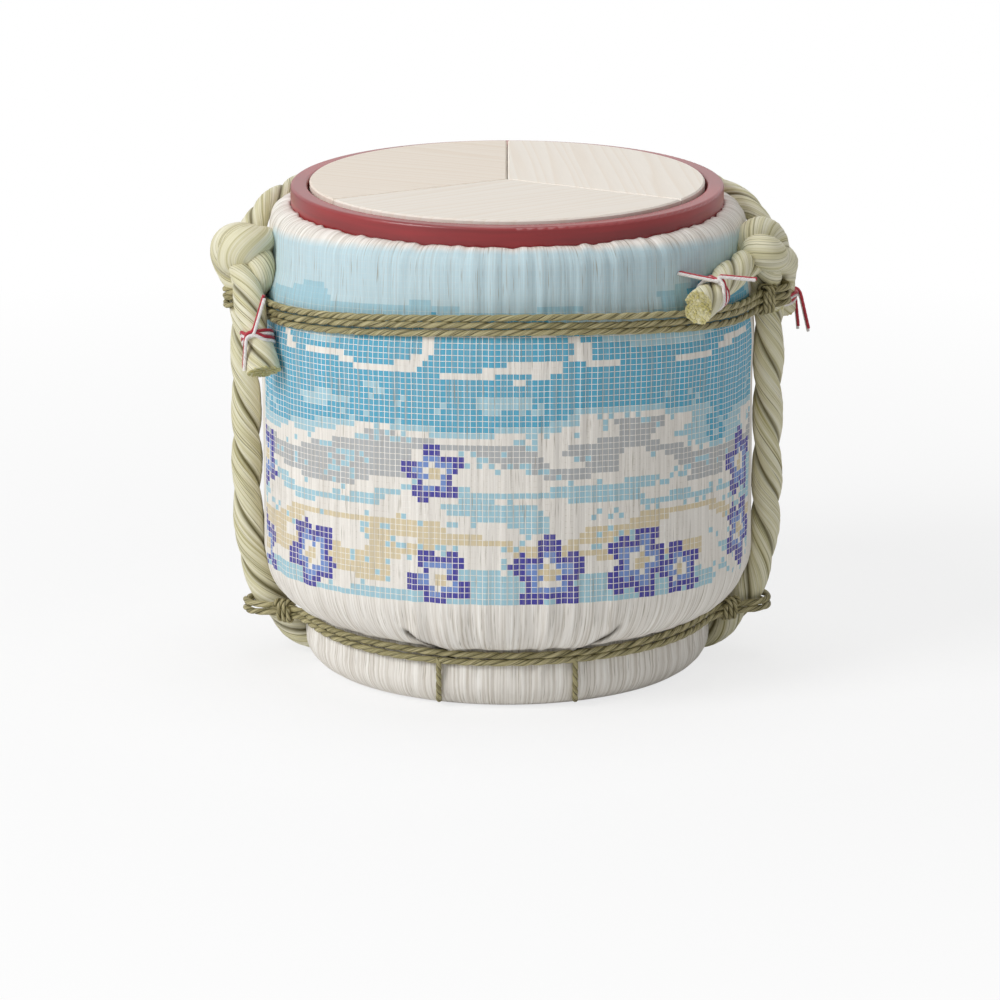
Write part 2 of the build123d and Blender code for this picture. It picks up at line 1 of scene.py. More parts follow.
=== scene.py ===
import bpy
from math import acos, atan2, cos, pi, radians, sin, sqrt
import numpy as np
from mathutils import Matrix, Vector


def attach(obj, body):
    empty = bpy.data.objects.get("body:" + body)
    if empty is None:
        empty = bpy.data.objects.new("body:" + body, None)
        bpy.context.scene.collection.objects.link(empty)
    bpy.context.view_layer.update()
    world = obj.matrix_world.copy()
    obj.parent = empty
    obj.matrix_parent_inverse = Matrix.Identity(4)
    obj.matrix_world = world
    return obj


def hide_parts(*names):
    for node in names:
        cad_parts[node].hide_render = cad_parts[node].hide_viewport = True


# Straw-wrapped cedar barrel: metres, +Z up, the front towards -Y, the origin on the floor under the middle.

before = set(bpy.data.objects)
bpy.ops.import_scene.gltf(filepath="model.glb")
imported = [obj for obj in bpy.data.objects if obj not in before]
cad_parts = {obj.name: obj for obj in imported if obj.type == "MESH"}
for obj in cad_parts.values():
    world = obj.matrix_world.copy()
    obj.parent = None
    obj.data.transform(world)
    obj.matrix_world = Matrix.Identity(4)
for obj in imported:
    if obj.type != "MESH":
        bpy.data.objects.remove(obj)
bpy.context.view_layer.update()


# Staves: eighteen wedges of riven cedar, planed and set edge to edge.
# Only their inside shows, when the lid is off: warm wood with upright grain.

MM = 0.001
STAVE_COUNT = 18
STAVE_RADIUS = 75 * MM     # at which the grain of a stave is laid out
CEDAR_TONES = ("#D9AE84", "#CB9A6E", "#A9744C")
CEDAR_ROUGHNESS = 0.55
CEDAR_RING = 3.2 * MM      # between growth rings on a planed stave
RING_DRIFT = 22.222 * MM   # over which the rings wander
RING_WANDER = 6.0          # how many rings they wander by
STREAK_WIDTH = 1.1111 * MM
GRAIN_STRETCH = (1.0, 7.31, 0.05)    # across a board, from piece to piece, and along the board


def colour(code):
    """sRGB hex value as a linear colour."""
    channels = [int(code[at:at + 2], 16) / 255 for at in (1, 3, 5)]
    linear = [part / 12.92 if part <= 0.04045 else ((part + 0.055) / 1.055) ** 2.4 for part in channels]
    return (*linear, 1.0)


def set_inputs(tree, node, inputs):
    """Sets or links inputs, in a row or by name; a node as an input stands for its first output."""
    for key, value in inputs.items() if isinstance(inputs, dict) else enumerate(inputs):
        if isinstance(value, bpy.types.Node):
            value = value.outputs[0]
        if isinstance(value, bpy.types.NodeSocket):
            tree.links.new(value, node.inputs[key])
        else:
            node.inputs[key].default_value = value


def add_node(tree, kind, inputs=(), stops=(), blend="LINEAR", **settings):
    """Adds a node with its settings, its inputs and the stops of its ramp."""
    node = tree.nodes.new(kind)
    for name, value in settings.items():
        setattr(node, name, value)
    set_inputs(tree, node, inputs)
    for number, (place, code) in enumerate(stops):
        node.color_ramp.interpolation = blend
        ramp = node.color_ramp.elements
        stop = ramp[number] if number < 2 else ramp.new(place)
        stop.position = place
        stop.color = colour(code)
    return node


def new_material(name):
    material = bpy.data.materials.new(name)
    material.use_nodes = True
    return material, material.node_tree, material.node_tree.nodes["Principled BSDF"]


def dress(material, *names):
    """Gives CAD nodes a finish."""
    for name in names:
        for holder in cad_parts[name].material_slots:
            holder.material = material


def planed_softwood(tree, shader, piece, across, along, tones, ring, depth=1.0):
    """Growth rings across a board and fine streaks along it; each piece has a cut and a tone of its own.

    depth is how strongly the streaks show."""
    pale, warm, late = tones
    spot = add_node(tree, "ShaderNodeCombineXYZ", [across, piece, along])
    long = add_node(tree, "ShaderNodeVectorMath", [spot, GRAIN_STRETCH], operation="MULTIPLY")
    drift, streak = [
        add_node(tree, "ShaderNodeTexNoise", {"Vector": long, "Scale": 1 / size, "Detail": detail})
        for size, detail in ((RING_DRIFT, 2.0), (STREAK_WIDTH, 3.0))
    ]
    wander = add_node(tree, "ShaderNodeMath", [drift, RING_WANDER], operation="MULTIPLY")
    rings = add_node(tree, "ShaderNodeMath", [across, 1 / ring, wander], operation="MULTIPLY_ADD")
    tooth = add_node(tree, "ShaderNodeMath", [rings], operation="FRACT")
    growth = [(0.0, pale), (0.55, warm), (0.88, late), (1.0, pale)]
    wood = add_node(tree, "ShaderNodeValToRGB", {"Fac": tooth}, stops=growth)
    own = add_node(tree, "ShaderNodeTexWhiteNoise", {"W": piece}, noise_dimensions="1D")
    light, fine = [
        add_node(tree, "ShaderNodeMapRange", {
            "Value": value, "To Min": 1.0 - darker * depth, "To Max": 1.0 + lighter * depth})
        for value, darker, lighter in ((own, 0.1, 0.06), (streak, 0.14, 0.1))
    ]
    shade = add_node(tree, "ShaderNodeMath", [light, fine], operation="MULTIPLY")
    toned = add_node(tree, "ShaderNodeVectorMath", {0: wood, "Scale": shade}, operation="SCALE")
    relief = add_node(
        tree, "ShaderNodeBump", {"Strength": 0.25 * depth, "Distance": 0.15 * MM, "Height": streak}
    )
    set_inputs(tree, shader, {"Base Color": toned, "Normal": relief})


# Planed cedar: soft satin, pink-brown, darker lines of late wood
stave_cedar, tree, shader = new_material("planed_cedar_staves")
set_inputs(tree, shader, {"Roughness": CEDAR_ROUGHNESS})
place = add_node(tree, "ShaderNodeTexCoord").outputs["Object"]
spot = add_node(tree, "ShaderNodeSeparateXYZ", [place]).outputs
angle = add_node(tree, "ShaderNodeMath", [spot["Y"], spot["X"]], operation="ARCTAN2")
count = add_node(tree, "ShaderNodeMath", [angle, STAVE_COUNT / (2 * pi)], operation="MULTIPLY")
stave = add_node(tree, "ShaderNodeMath", [count], operation="FLOOR")
across = add_node(tree, "ShaderNodeMath", [angle, STAVE_RADIUS], operation="MULTIPLY")
planed_softwood(tree, shader, stave, across, spot["Z"], CEDAR_TONES, CEDAR_RING)
dress(stave_cedar, *[f"stave_{number + 1:02d}" for number in range(STAVE_COUNT)])


# Bottom: four cedar boards edge to edge, let into the groove of the staves and pinned with bamboo.
# Planed like the staves; they show at the foot of the tub when the lid is off.

BOARD_COUNT = 4
BOARD_WIDTH = 38.5 * MM
BOARD_RING = 4.5 * MM

board_cedar, tree, shader = new_material("planed_cedar_boards")
set_inputs(tree, shader, {"Roughness": CEDAR_ROUGHNESS})
place = add_node(tree, "ShaderNodeTexCoord").outputs["Object"]
spot = add_node(tree, "ShaderNodeSeparateXYZ", [place]).outputs
count = add_node(tree, "ShaderNodeMath", [spot["X"], 1 / BOARD_WIDTH], operation="MULTIPLY")
board = add_node(tree, "ShaderNodeMath", [count], operation="FLOOR")
planed_softwood(tree, shader, board, spot["X"], spot["Y"], CEDAR_TONES, BOARD_RING)
dress(board_cedar, *[f"bottom_board_{number + 1}" for number in range(BOARD_COUNT)])


# Hoops and dowels: split bamboo, the hoops bent round the tub under the straw.
# Smooth greenish yellow skin with fine fibres along the strip.

BAMBOO_DARK = "#9C8A4E"
BAMBOO_PALE = "#C9B576"
BAMBOO_FIBRE = (16.667 * MM, 16.667 * MM, 0.7143 * MM)


def fibrous(name, stops, streak, surface, detail, strength, depth, attribute=None):
    """Finish of streaks with one size in x, y and z, toned by the stops and with a fine relief.

    The streaks follow the object, or an attribute of the piece where one is named. The surface is the rest
    of the shader's inputs."""
    material, tree, shader = new_material(name)
    if attribute:
        place = add_node(tree, "ShaderNodeAttribute", attribute_name=attribute).outputs["Vector"]
    else:
        place = add_node(tree, "ShaderNodeTexCoord").outputs["Object"]
    close = [1 / size for size in streak]
    laid = add_node(tree, "ShaderNodeVectorMath", [place, close], operation="MULTIPLY")
    fibre = add_node(tree, "ShaderNodeTexNoise", {"Vector": laid, "Scale": 1.0, "Detail": detail})
    tone = add_node(tree, "ShaderNodeValToRGB", {"Fac": fibre}, stops=stops)
    relief = add_node(tree, "ShaderNodeBump", {"Strength": strength, "Distance": depth, "Height": fibre})
    set_inputs(tree, shader, {"Base Color": tone, "Normal": relief, **surface})
    return material


bamboo = fibrous(
    "split_bamboo", [(0.3, BAMBOO_DARK), (0.7, BAMBOO_PALE)], BAMBOO_FIBRE,
    {"Roughness": 0.42}, detail=3.0, strength=0.3, depth=0.2 * MM,
)
dress(bamboo, "lower_hoop", "middle_hoop", "upper_hoop", "bottom_dowels")


# Rim hoop: a bent wooden band in red lacquer, pushed over the top of the staves.
# Wiped lacquer over wood: deep red, a soft gloss, slightly uneven along the band.

LACQUER_DEEP = "#751317"
LACQUER_RED = "#991B1F"
LACQUER_CLOUD = (71.429 * MM, 71.429 * MM, 4.5455 * MM)

lacquer = fibrous(
    "red_lacquer", [(0.3, LACQUER_DEEP), (0.65, LACQUER_RED)], LACQUER_CLOUD,
    {"Roughness": 0.42, "Coat Weight": 0.4, "Coat Roughness": 0.22},
    detail=4.0, strength=0.06, depth=0.3 * MM,
)
dress(lacquer, "rim_hoop")


# Lid: three sectors of pale spruce that meet at the centre and lift out one by one.
# Planed, unfinished wood, almost white; the sector at the back left has painted shade, a little darker and
# warmer, for its grain that lies another way and takes the light less.

LID_SECTORS = 3
LID_TONES = ("#F6EFE5", "#F4ECE1", "#F1E7DA")
# Painted shade on the sector at the back left
LEFT_SECTOR_SHADE = (0.965, 0.935, 0.905)
LID_GRAIN = 0.3            # of the depth of the grain in the staves
LID_RING = 5.5 * MM
LID_TURN = radians(25)     # of the grain against the front edge
SEAM_SHIFT = 2.25          # in sectors, so that one seam points straight back

lid_wood, tree, shader = new_material("planed_spruce_lid")
set_inputs(tree, shader, {"Roughness": 0.6, "Specular IOR Level": 0.35})
place = add_node(tree, "ShaderNodeTexCoord").outputs["Object"]
spot = add_node(tree, "ShaderNodeSeparateXYZ", [place]).outputs
angle = add_node(tree, "ShaderNodeMath", [spot["Y"], spot["X"]], operation="ARCTAN2")
share = add_node(
    tree, "ShaderNodeMath", [angle, LID_SECTORS / (2 * pi), SEAM_SHIFT], operation="MULTIPLY_ADD"
)
count = add_node(tree, "ShaderNodeMath", [share], operation="FLOOR")
sector = add_node(tree, "ShaderNodeMath", [count, float(LID_SECTORS)], operation="MODULO")
swing = add_node(tree, "ShaderNodeMath", [sector, 2 * pi / LID_SECTORS, LID_TURN], operation="MULTIPLY_ADD")
turned = add_node(
    tree, "ShaderNodeVectorRotate", {"Vector": place, "Axis": (0.0, 0.0, 1.0), "Angle": swing},
    rotation_type="AXIS_ANGLE",
)
lay = add_node(tree, "ShaderNodeSeparateXYZ", [turned]).outputs
planed_softwood(tree, shader, sector, lay["Y"], lay["X"], LID_TONES, LID_RING, LID_GRAIN)
# Painted shade: the sector at the back left is tinted darker and warmer
plain = shader.inputs["Base Color"].links[0].from_socket
left_sector_shaded = add_node(tree, "ShaderNodeVectorMath", [plain, LEFT_SECTOR_SHADE], operation="MULTIPLY")
is_left = add_node(tree, "ShaderNodeMath", [sector, 0.5], operation="LESS_THAN")
shaded_sectors = add_node(tree, "ShaderNodeMix", {0: is_left, 6: plain, 7: left_sector_shaded}, data_type="RGBA").outputs[2]
set_inputs(tree, shader, {"Base Color": shaded_sectors})
dress(lid_wood, "lid_sector_left", "lid_sector_front", "lid_sector_right")


# Padding: loose straw packed round the tub so that the mat sits plump over it.
# Hidden between the hoops and the mat; a lumpy ring of upright stalks.

PAD_OUTLINE = [
    (91.5, 58.0), (105.5, 58.0), (105.5, 90.0), (105.5, 130.0), (105.5, 171.0), (101.5, 186.0),
    (101.5, 190.5), (96.9, 195.5), (95.6, 195.5), (94.2, 150.0), (92.6, 100.0),
]
PAD_COLUMNS = 180
PAD_LUMP = 0.5
STRAW_DARK = "#8C8352"
STRAW_MID = "#C6BF8F"
STRAW_PALE = "#DAD5AE"
STRAW_STALK = (2.0 * MM, 2.0 * MM, 55.556 * MM)


def new_object(name, data):
    """Object in the scene for a mesh, a curve, a lamp or a camera."""
    piece = bpy.data.objects.new(name, data)
    bpy.context.scene.collection.objects.link(piece)
    return piece


def lathe(name, rows):
    """Closed mesh from rows of points round the axis: an array of row, column and x, y, z in millimetres."""
    count, columns, _ = rows.shape
    spots = np.arange(count * columns).reshape(count, columns)
    after = np.roll(spots, -1, axis=0)
    corners = [spots, np.roll(spots, -1, axis=1), np.roll(after, -1, axis=1), after]
    faces = np.stack(corners, axis=-1).reshape(-1, 4)
    mesh = bpy.data.meshes.new(name)
    mesh.from_pydata((rows.reshape(-1, 3) * MM).tolist(), [], faces.tolist())
    mesh.polygons.foreach_set("use_smooth", np.ones(len(faces), bool))
    mesh.update()
    return new_object(name, mesh)


def seat(piece, slot, *names):
    """Puts a finished piece on the barrel in place of CAD nodes."""
    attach(piece, "barrel")
    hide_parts(*names)


loose_straw = fibrous(
    "loose_rice_straw", [(0.3, STRAW_DARK), (0.5, STRAW_MID), (0.7, STRAW_PALE)], STRAW_STALK,
    {"Roughness": 0.6}, detail=3.0, strength=0.6, depth=0.8 * MM,
)
chance = np.random.default_rng(11)
turn = np.linspace(0, 2 * pi, PAD_COLUMNS, endpoint=False)
lump = chance.uniform(-PAD_LUMP, 0.0, (len(PAD_OUTLINE), PAD_COLUMNS))
radius = np.array([[out] for out, _ in PAD_OUTLINE]) + lump
height = np.array([[up] for _, up in PAD_OUTLINE]) + 0 * lump
rows = np.stack([radius * np.cos(turn), radius * np.sin(turn), height], axis=-1)
padding = lathe("straw_padding_packed", rows)
padding.data.materials.append(loose_straw)
seat(padding, "loose_straw", "straw_padding")


# Mat: bleached rice straw sewn side by side into one sheet, screen-printed, wrapped round the padding.
# It is folded under the base, drawn in by the lower rope, and rolled over at the shoulder by the rim hoop.
# Millimetres; a pair of heights is where something starts and where it is full.

BELLY_RADIUS = 110.0
TOP_RADIUS = 106.0         # above the upper rope
DRAW_FOOT = 172.0          # where the mat starts to narrow
DRAW_RISE = 14.0
MAT_THICKNESS = 4.0
BASE_OPENING = 44.0
BASE_RADIUS = 79.0
BASE_FOLD = 15.0
FOLD_MIDDLE = 66.0
FOLD_EDGE = 84.0
FOLD_GAP = 0.4
WAIST_RADIUS = 91.5
SKIRT_TOP = 16.0
SKIRT_INSIDE = 26.0
BELLY_FOOT = 55.0
BELLY_ROUND = 25.0
BELLY_DROP = 1.11          # the straw hangs over the lower rope
INNER_SWEEP = radians(-83)
INSIDE_HEIGHTS = (130.0, 90.0)
HEM_RADIUS = 96.8
HEM_TOP = 210.0
HEM_THICKNESS = 9.0
SHOULDER_ROUND = TOP_RADIUS - HEM_RADIUS
SHOULDER_FOOT = HEM_TOP - SHOULDER_ROUND
UPPER_HEIGHT = 179.0       # upper rope, at the front
UPPER_DROOP = 11.5         # the same rope is this much lower at the sides
LOWER_HEIGHT = 24.5
MAT_COLUMNS = 560
STRAW_RELIEF = 0.2
STALK_RUN = 37.0           # height over which one stalk gives way to the next
GATHER_DEPTH = 1.3         # pleats round the lower rope
GATHER_START = (8.0, 26.0)
GATHER_END = (38.0, 74.0)
SHIRR_DEPTH = 0.8          # finer pleats at the shoulder
SHIRR_START = (172.0, 200.0)
SWAY = 0.8                 # slow unevenness round the barrel
HEM_WAVE = 0.8
HEM_BAND = (200.0, 210.0)
BASE_FLAT = (4.0, 20.0)    # no relief under the base
UPPER_BITES = ((-1.1, 0.0, 6.0), (0.5, 15.0, 8.0), (0.6, -17.0, 10.0))    # push, above the rope, half-width
LOWER_BITE = -0.9
LOWER_BITE_WIDTH = 5.0
TUCKS = (((-26.5, 25.5), (-43.0, 40.0)), ((31.5, 26.5), (46.0, 41.5)))    # round the front and up: foot, top
TUCK_RADIUS = 95.0
TUCK_START = (-0.3, 0.0)   # shares of a tuck's length
TUCK_END = (0.7, 1.05)
FLAP_PROUD = 3.2
FLAP_EDGE = (-0.5, 0.7)
FLAP_FADE = 6.0
SLIT_DEPTH = 2.2
SLIT_WIDTH = 1.3
SLIT_AWAY = 0.9            # from the edge of the flap
# Painted shade along each slit: its strength and its width
SLIT_SHADE = 1.8
SLIT_SHADE_WIDTH = 1.6
SIDE_ROPE_RADIUS = 7.0
WAY_FLAT = SIDE_ROPE_RADIUS + 0.6    # way for the side rope under the base: half of its flat top
WAY_EDGE = 13.0
WAY_CROWN = 14.7
WAY_RISE = 5.0             # towards the outside
WAY_START = 80.0
SHOULDER_ROPE_RADIUS = 5.8
SHOULDER_ROPE_REACH = 102.6
SHOULDER_ROPE_HEIGHT = 207.8
SHOULDER_ROPE_TURNS = (38, 58, 78, 102, 122, 142)
CONTROL_OUT = 1.015        # control points of a round stretch stand outside it
KNOT_ENTRY = (114.5, -8.0, 195.0)
KNOT_CORE = (118.6, -0.6, 188.0)
BED_FOOT = 188.0           # lowest straw that the shoulder rope presses
BED_GAP = 0.4
BED_DOWN = 0.6
BED_IN = 0.15
BED_ROUNDS = 10
BED_STEPS = 12
PRINT_CELL = 2.65          # one square of the print with its white line
PRINT_FOOT = 54.0          # lowest row of the print, at the front
PRINT_DROOP = 5.0          # of that row at the sides
PRINT_DROOP_GAIN = 3.5 / 120


def between(first, last, count):
    """Even steps from one value to another, without the first."""
    return np.linspace(first, last, count + 1)[1:]


def mat_outline():
    """Rows of radius and height up the outside and down the inside, and how many of them are outside."""
    belly = BELLY_RADIUS - BELLY_ROUND
    under = sqrt(BELLY_ROUND ** 2 - (WAIST_RADIUS - belly) ** 2)
    waist = BELLY_FOOT - BELLY_DROP * under
    low = atan2(-under, WAIST_RADIUS - belly)
    edge = (SKIRT_TOP ** 2 + (WAIST_RADIUS - BASE_RADIUS) ** 2) / (2 * SKIRT_TOP)
    sweep = acos(1 - SKIRT_TOP / edge)
    draw_top = DRAW_FOOT + DRAW_RISE
    rows = [(BASE_OPENING, 0.0)]
    rows += [(out, 0.0) for out in between(BASE_OPENING, BASE_RADIUS, 6)]
    rows += [(BASE_RADIUS + edge * sin(turn), edge * (1 - cos(turn))) for turn in between(0, sweep, 8)]
    rows += [(WAIST_RADIUS, up) for up in between(SKIRT_TOP, waist, 8)]
    rows += [
        (belly + BELLY_ROUND * cos(turn), BELLY_FOOT + BELLY_DROP * BELLY_ROUND * sin(turn))
        for turn in between(low, 0, 27)
    ]
    rows += [(BELLY_RADIUS, up) for up in between(BELLY_FOOT, DRAW_FOOT, 57)]
    rows += [
        (BELLY_RADIUS + (TOP_RADIUS - BELLY_RADIUS) * share, DRAW_FOOT + DRAW_RISE * share)
        for share in between(0, 1, 7)
    ]
    rows += [(TOP_RADIUS, up) for up in between(draw_top, SHOULDER_FOOT, 7)]
    rows += [
        (HEM_RADIUS + SHOULDER_ROUND * cos(turn), SHOULDER_FOOT + SHOULDER_ROUND * sin(turn))
        for turn in between(0, pi / 2, 13)
    ]
    outside = len(rows)
    inside = BELLY_RADIUS - MAT_THICKNESS
    inner = BELLY_ROUND - MAT_THICKNESS
    drawn = WAIST_RADIUS - MAT_THICKNESS
    narrow = TOP_RADIUS - MAT_THICKNESS
    hem_foot = HEM_TOP - HEM_THICKNESS
    rows += [(HEM_RADIUS, HEM_TOP - HEM_THICKNESS / 2), (HEM_RADIUS, hem_foot)]
    rows += [(narrow, hem_foot - (narrow - HEM_RADIUS)), (narrow, draw_top)]
    rows += [(inside, up) for up in (DRAW_FOOT, *INSIDE_HEIGHTS, BELLY_FOOT)]
    rows += [
        (belly + inner * cos(turn), BELLY_FOOT + inner * sin(turn)) for turn in between(0, INNER_SWEEP, 4)
    ]
    rows += [(drawn, SKIRT_INSIDE), (drawn, BASE_FOLD), (FOLD_MIDDLE, BASE_FOLD), (BASE_OPENING, BASE_FOLD)]
    return np.array(rows), outside


def smooth_step(low, high, value):
    share = np.clip((value - low) / (high - low), 0, 1)
    return share * share * (3 - 2 * share)


def waves(turn, counts, seed):
    """Sum of cosine waves round the barrel with seeded phases, from -1 to 1."""
    phases = np.random.default_rng(seed).uniform(0, 2 * pi, len(counts))
    return sum(np.cos(number * turn + phase) for number, phase in zip(counts, phases)) / len(counts)


def ridge(depth, away, width):
    """Soft ridge at nought, or a groove where its depth is below nought."""
    return depth * np.exp(-(away / width) ** 2)


def shoulder_rope_points():
    """Shoulder rope from knot to knot, round the back of the rim hoop."""
    right = [(out, -front, up) for out, front, up in (KNOT_CORE, KNOT_ENTRY)]
    right += [(110.0, 16.3, 203.3), (96.5, 37.1, SHOULDER_ROPE_HEIGHT)]
    reach = SHOULDER_ROPE_REACH * CONTROL_OUT
    turns = [radians(angle) for angle in SHOULDER_ROPE_TURNS]
    back = [(reach * cos(turn), reach * sin(turn), SHOULDER_ROPE_HEIGHT) for turn in turns]
    left = [(-x, y, z) for x, y, z in reversed(right)]
    return right + back + left


def smooth_line(name, runs, steps, pressed=()):
    """Curve along runs of points in millimetres, with so many steps from point to point.

    A fourth number of a point is its girth. For each run, pressed says how far its strands are one."""
    line = bpy.data.curves.new(name, "CURVE")
    line.dimensions = "3D"
    for number, points in enumerate(runs):
        spline = line.splines.new("NURBS")
        spline.points.add(len(points) - 1)
        for point, place in zip(spline.points, points):
            point.co = (*[part * MM for part in place[:3]], 1.0)
            point.radius = place[3] if len(place) > 3 else 1.0
            point.tilt = pressed[number] if pressed else 0.0
        spline.use_endpoint_u = True
        spline.order_u = 3
        spline.resolution_u = steps
    return new_object(name, line)


outline, outside_rows = mat_outline()
from_front = (np.arange(MAT_COLUMNS) / MAT_COLUMNS - 0.5) * 2 * pi
radius = np.repeat(outline[:, :1], MAT_COLUMNS, axis=1)
height = np.repeat(outline[:, 1:], MAT_COLUMNS, axis=1)
is_outside = (np.arange(len(outline)) < outside_rows)[:, None]

# Stalks, pleats, the bite of the ropes and a slow unevenness, all outward from the plain outline
chance = np.random.default_rng(5)
stalk, stalk_two = [np.repeat(chance.normal(0, 1, MAT_COLUMNS // 2), 2) for _ in range(2)]
push = STRAW_RELIEF * (stalk * np.cos(height / STALK_RUN) + stalk_two * np.sin(height / STALK_RUN))
gathered = smooth_step(*GATHER_START, height) * (1 - smooth_step(*GATHER_END, height))
push += GATHER_DEPTH * waves(from_front, (29, 37, 46, 59, 71), 3) * gathered
push += SHIRR_DEPTH * waves(from_front, (23, 41, 58, 83, 97), 8) * smooth_step(*SHIRR_START, height)
push += SWAY * waves(from_front, (2, 3, 5, 7), 4)
rope_line = UPPER_HEIGHT - UPPER_DROOP * np.sin(from_front) ** 2
for depth, above, width in UPPER_BITES:
    push += ridge(depth, height - rope_line - above, width)
push += ridge(LOWER_BITE, height - LOWER_HEIGHT, LOWER_BITE_WIDTH)

# Two tucks above the lower rope: narrow slits that slant up and outward, the flap between them proud, with
# painted shade in the slits
round_front = from_front * TUCK_RADIUS
slit_shading = np.zeros_like(height)
for (low_place, low_up), (high_place, high_up) in TUCKS:
    run = high_place - low_place
    rise = high_up - low_up
    length = sqrt(run ** 2 + rise ** 2)
    share = ((round_front - low_place) * run + (height - low_up) * rise) / length ** 2
    inward = ((height - low_up) * abs(run) - (round_front - low_place) * np.sign(run) * rise) / length
    here = smooth_step(*TUCK_START, share) * (1 - smooth_step(*TUCK_END, share))
    flap = smooth_step(*FLAP_EDGE, inward) * np.exp(-np.clip(inward, 0, None) / FLAP_FADE)
    push += (FLAP_PROUD * flap - ridge(SLIT_DEPTH, inward + SLIT_AWAY, SLIT_WIDTH)) * here
    # Painted shade along each slit, kept for the mat's material
    slit_shading = np.maximum(slit_shading, np.clip(ridge(SLIT_SHADE, inward + SLIT_AWAY, SLIT_SHADE_WIDTH) * here, 0, 1))
radius = radius + push * smooth_step(*BASE_FLAT, height) * is_outside
hem_wave = HEM_WAVE * waves(from_front, (17, 31, 47, 66, 89), 6)
height = height + hem_wave * smooth_step(*HEM_BAND, height) * is_outside

x = radius * np.sin(from_front)
y = -radius * np.cos(from_front)
z = height

# Way for the side rope under the base, and the bed that the shoulder rope presses into the straw
rope_way = 1 - smooth_step(WAY_FLAT, WAY_EDGE, np.abs(y))
crown = WAY_CROWN + WAY_RISE * smooth_step(WAY_START, WAIST_RADIUS, radius)
lifted = np.where(z < crown, z + (crown - z) * rope_way, z)
z = np.where(is_outside, lifted, np.maximum(z, np.where(radius > FOLD_EDGE, lifted + FOLD_GAP, z)))
bed = smooth_line("shoulder_rope_bed", [shoulder_rope_points()], BED_STEPS)
bed_mesh = bpy.data.meshes.new_from_object(bed)
bed_path = np.array([vertex.co for vertex in bed_mesh.vertices]) / MM
bpy.data.curves.remove(bed.data)
bpy.data.meshes.remove(bed_mesh)
top_rows = np.where((outline[:, 1] > BED_FOOT) & is_outside[:, 0])[0]
for _ in range(BED_ROUNDS):
    spots = np.stack([x[top_rows], y[top_rows], z[top_rows]], axis=-1)
    away = np.min(np.linalg.norm(spots[:, :, None, :] - bed_path, axis=-1), axis=-1)
    short = np.clip(SHOULDER_ROPE_RADIUS + BED_GAP - away, 0, None)
    z[top_rows] -= BED_DOWN * short
    x[top_rows] -= BED_IN * short * np.sin(from_front)
    y[top_rows] += BED_IN * short * np.cos(from_front)

mat = lathe("straw_mat_printed", np.stack([x, y, z], axis=-1))
# How much painted shade each point of a slit takes
slit_painted_shade = mat.data.attributes.new("slit_painted_shade", "FLOAT", "POINT")
slit_painted_shade.data.foreach_set("value", (slit_shading * is_outside).astype(np.float32).ravel())

# Place on the print: squares left or right of the front, and squares up from its lowest row
steps = np.linalg.norm(np.diff(outline, axis=0), axis=1)
along = np.concatenate([[0], np.cumsum(steps)])
foot_row = int(np.argmin(np.abs(outline[:outside_rows, 1] - BELLY_FOOT)))
along = along - along[foot_row] + BELLY_FOOT
droop = PRINT_DROOP + PRINT_DROOP_GAIN * (along[:, None] - PRINT_FOOT)
column_place = (np.arange(MAT_COLUMNS + 1) / MAT_COLUMNS - 0.5) * 2 * pi
rows_up = (along[:, None] + droop * np.sin(column_place)[None, :] ** 2 - PRINT_FOOT) / PRINT_CELL
across = np.repeat((column_place * BELLY_RADIUS / PRINT_CELL)[None, :], len(along), axis=0)
cells = np.stack([across, rows_up], axis=-1)
after = np.roll(cells, -1, axis=0)
after[-1] = cells[-1]
loops = np.stack([cells[:, :-1], cells[:, 1:], after[:, 1:], after[:, :-1]], axis=2)
print_map = mat.data.uv_layers.new(name="print_squares")
print_map.data.foreach_set("uv", loops.astype(np.float32).ravel())

MAT_BRIGHT = "#FAF8F3"
MAT_WHITE = "#EFEAE2"
MAT_SHADE = "#D6CDC0"
MAT_CRACK = "#9B9282"
# Painted shade in the slits of the tucks
MAT_SLIT_SHADE = "#40382A"
INK_SKY = "#4FA9C9"
INK_PALE = "#A2CCDA"
INK_HAZE = "#C2DBE3"
INK_GREY = "#B3B6B8"
INK_TAN = "#DCCCA8"
INK_INDIGO = "#3B379C"
INK_BLUE = "#6F8FCE"
PRINT_COLUMNS = 57.0       # squares each side of the middle
PRINT_ROWS = 60.4
ROPE_ROW = 47.0            # where the upper rope crosses the print
PANEL_HALF = pi * BELLY_RADIUS / PRINT_CELL / 2
SQUARE_HALF = 0.445        # of a square with its white line
MIST_SQUARES = (30, 8)     # length and height of a band of mist
MIST_SHIFT = 0.52
MIST_FOOT = -0.26
BLOSSOM_STEP = 15.0        # squares from blossom to blossom
BLOSSOM_SIZE = 4.6         # squares, in the smallest
BLOSSOM_SPREAD = 2.2
BLOSSOM_ROWS = 31.0        # none has its heart above these
BLOSSOM_MISSING = 0.38
BLOSSOM_TURN = 6.0         # largest turn of a blossom, in radians
PETALS = 5
PETAL_SWELL = 0.5          # of a blossom's size
PETAL_NOTCH = 0.55
PETAL_ROWS = 35.0
PETAL_DRIFT = 2.3          # drifts of loose petals in the length of a band of mist
STALK_PLACE = (PRINT_CELL / 1.3, PRINT_CELL / 70, 0.0)    # stalks 1.3 mm wide, alike over 70 mm
CRACK_PLACE = (PRINT_CELL / 0.7, PRINT_CELL / 17, 0.0)

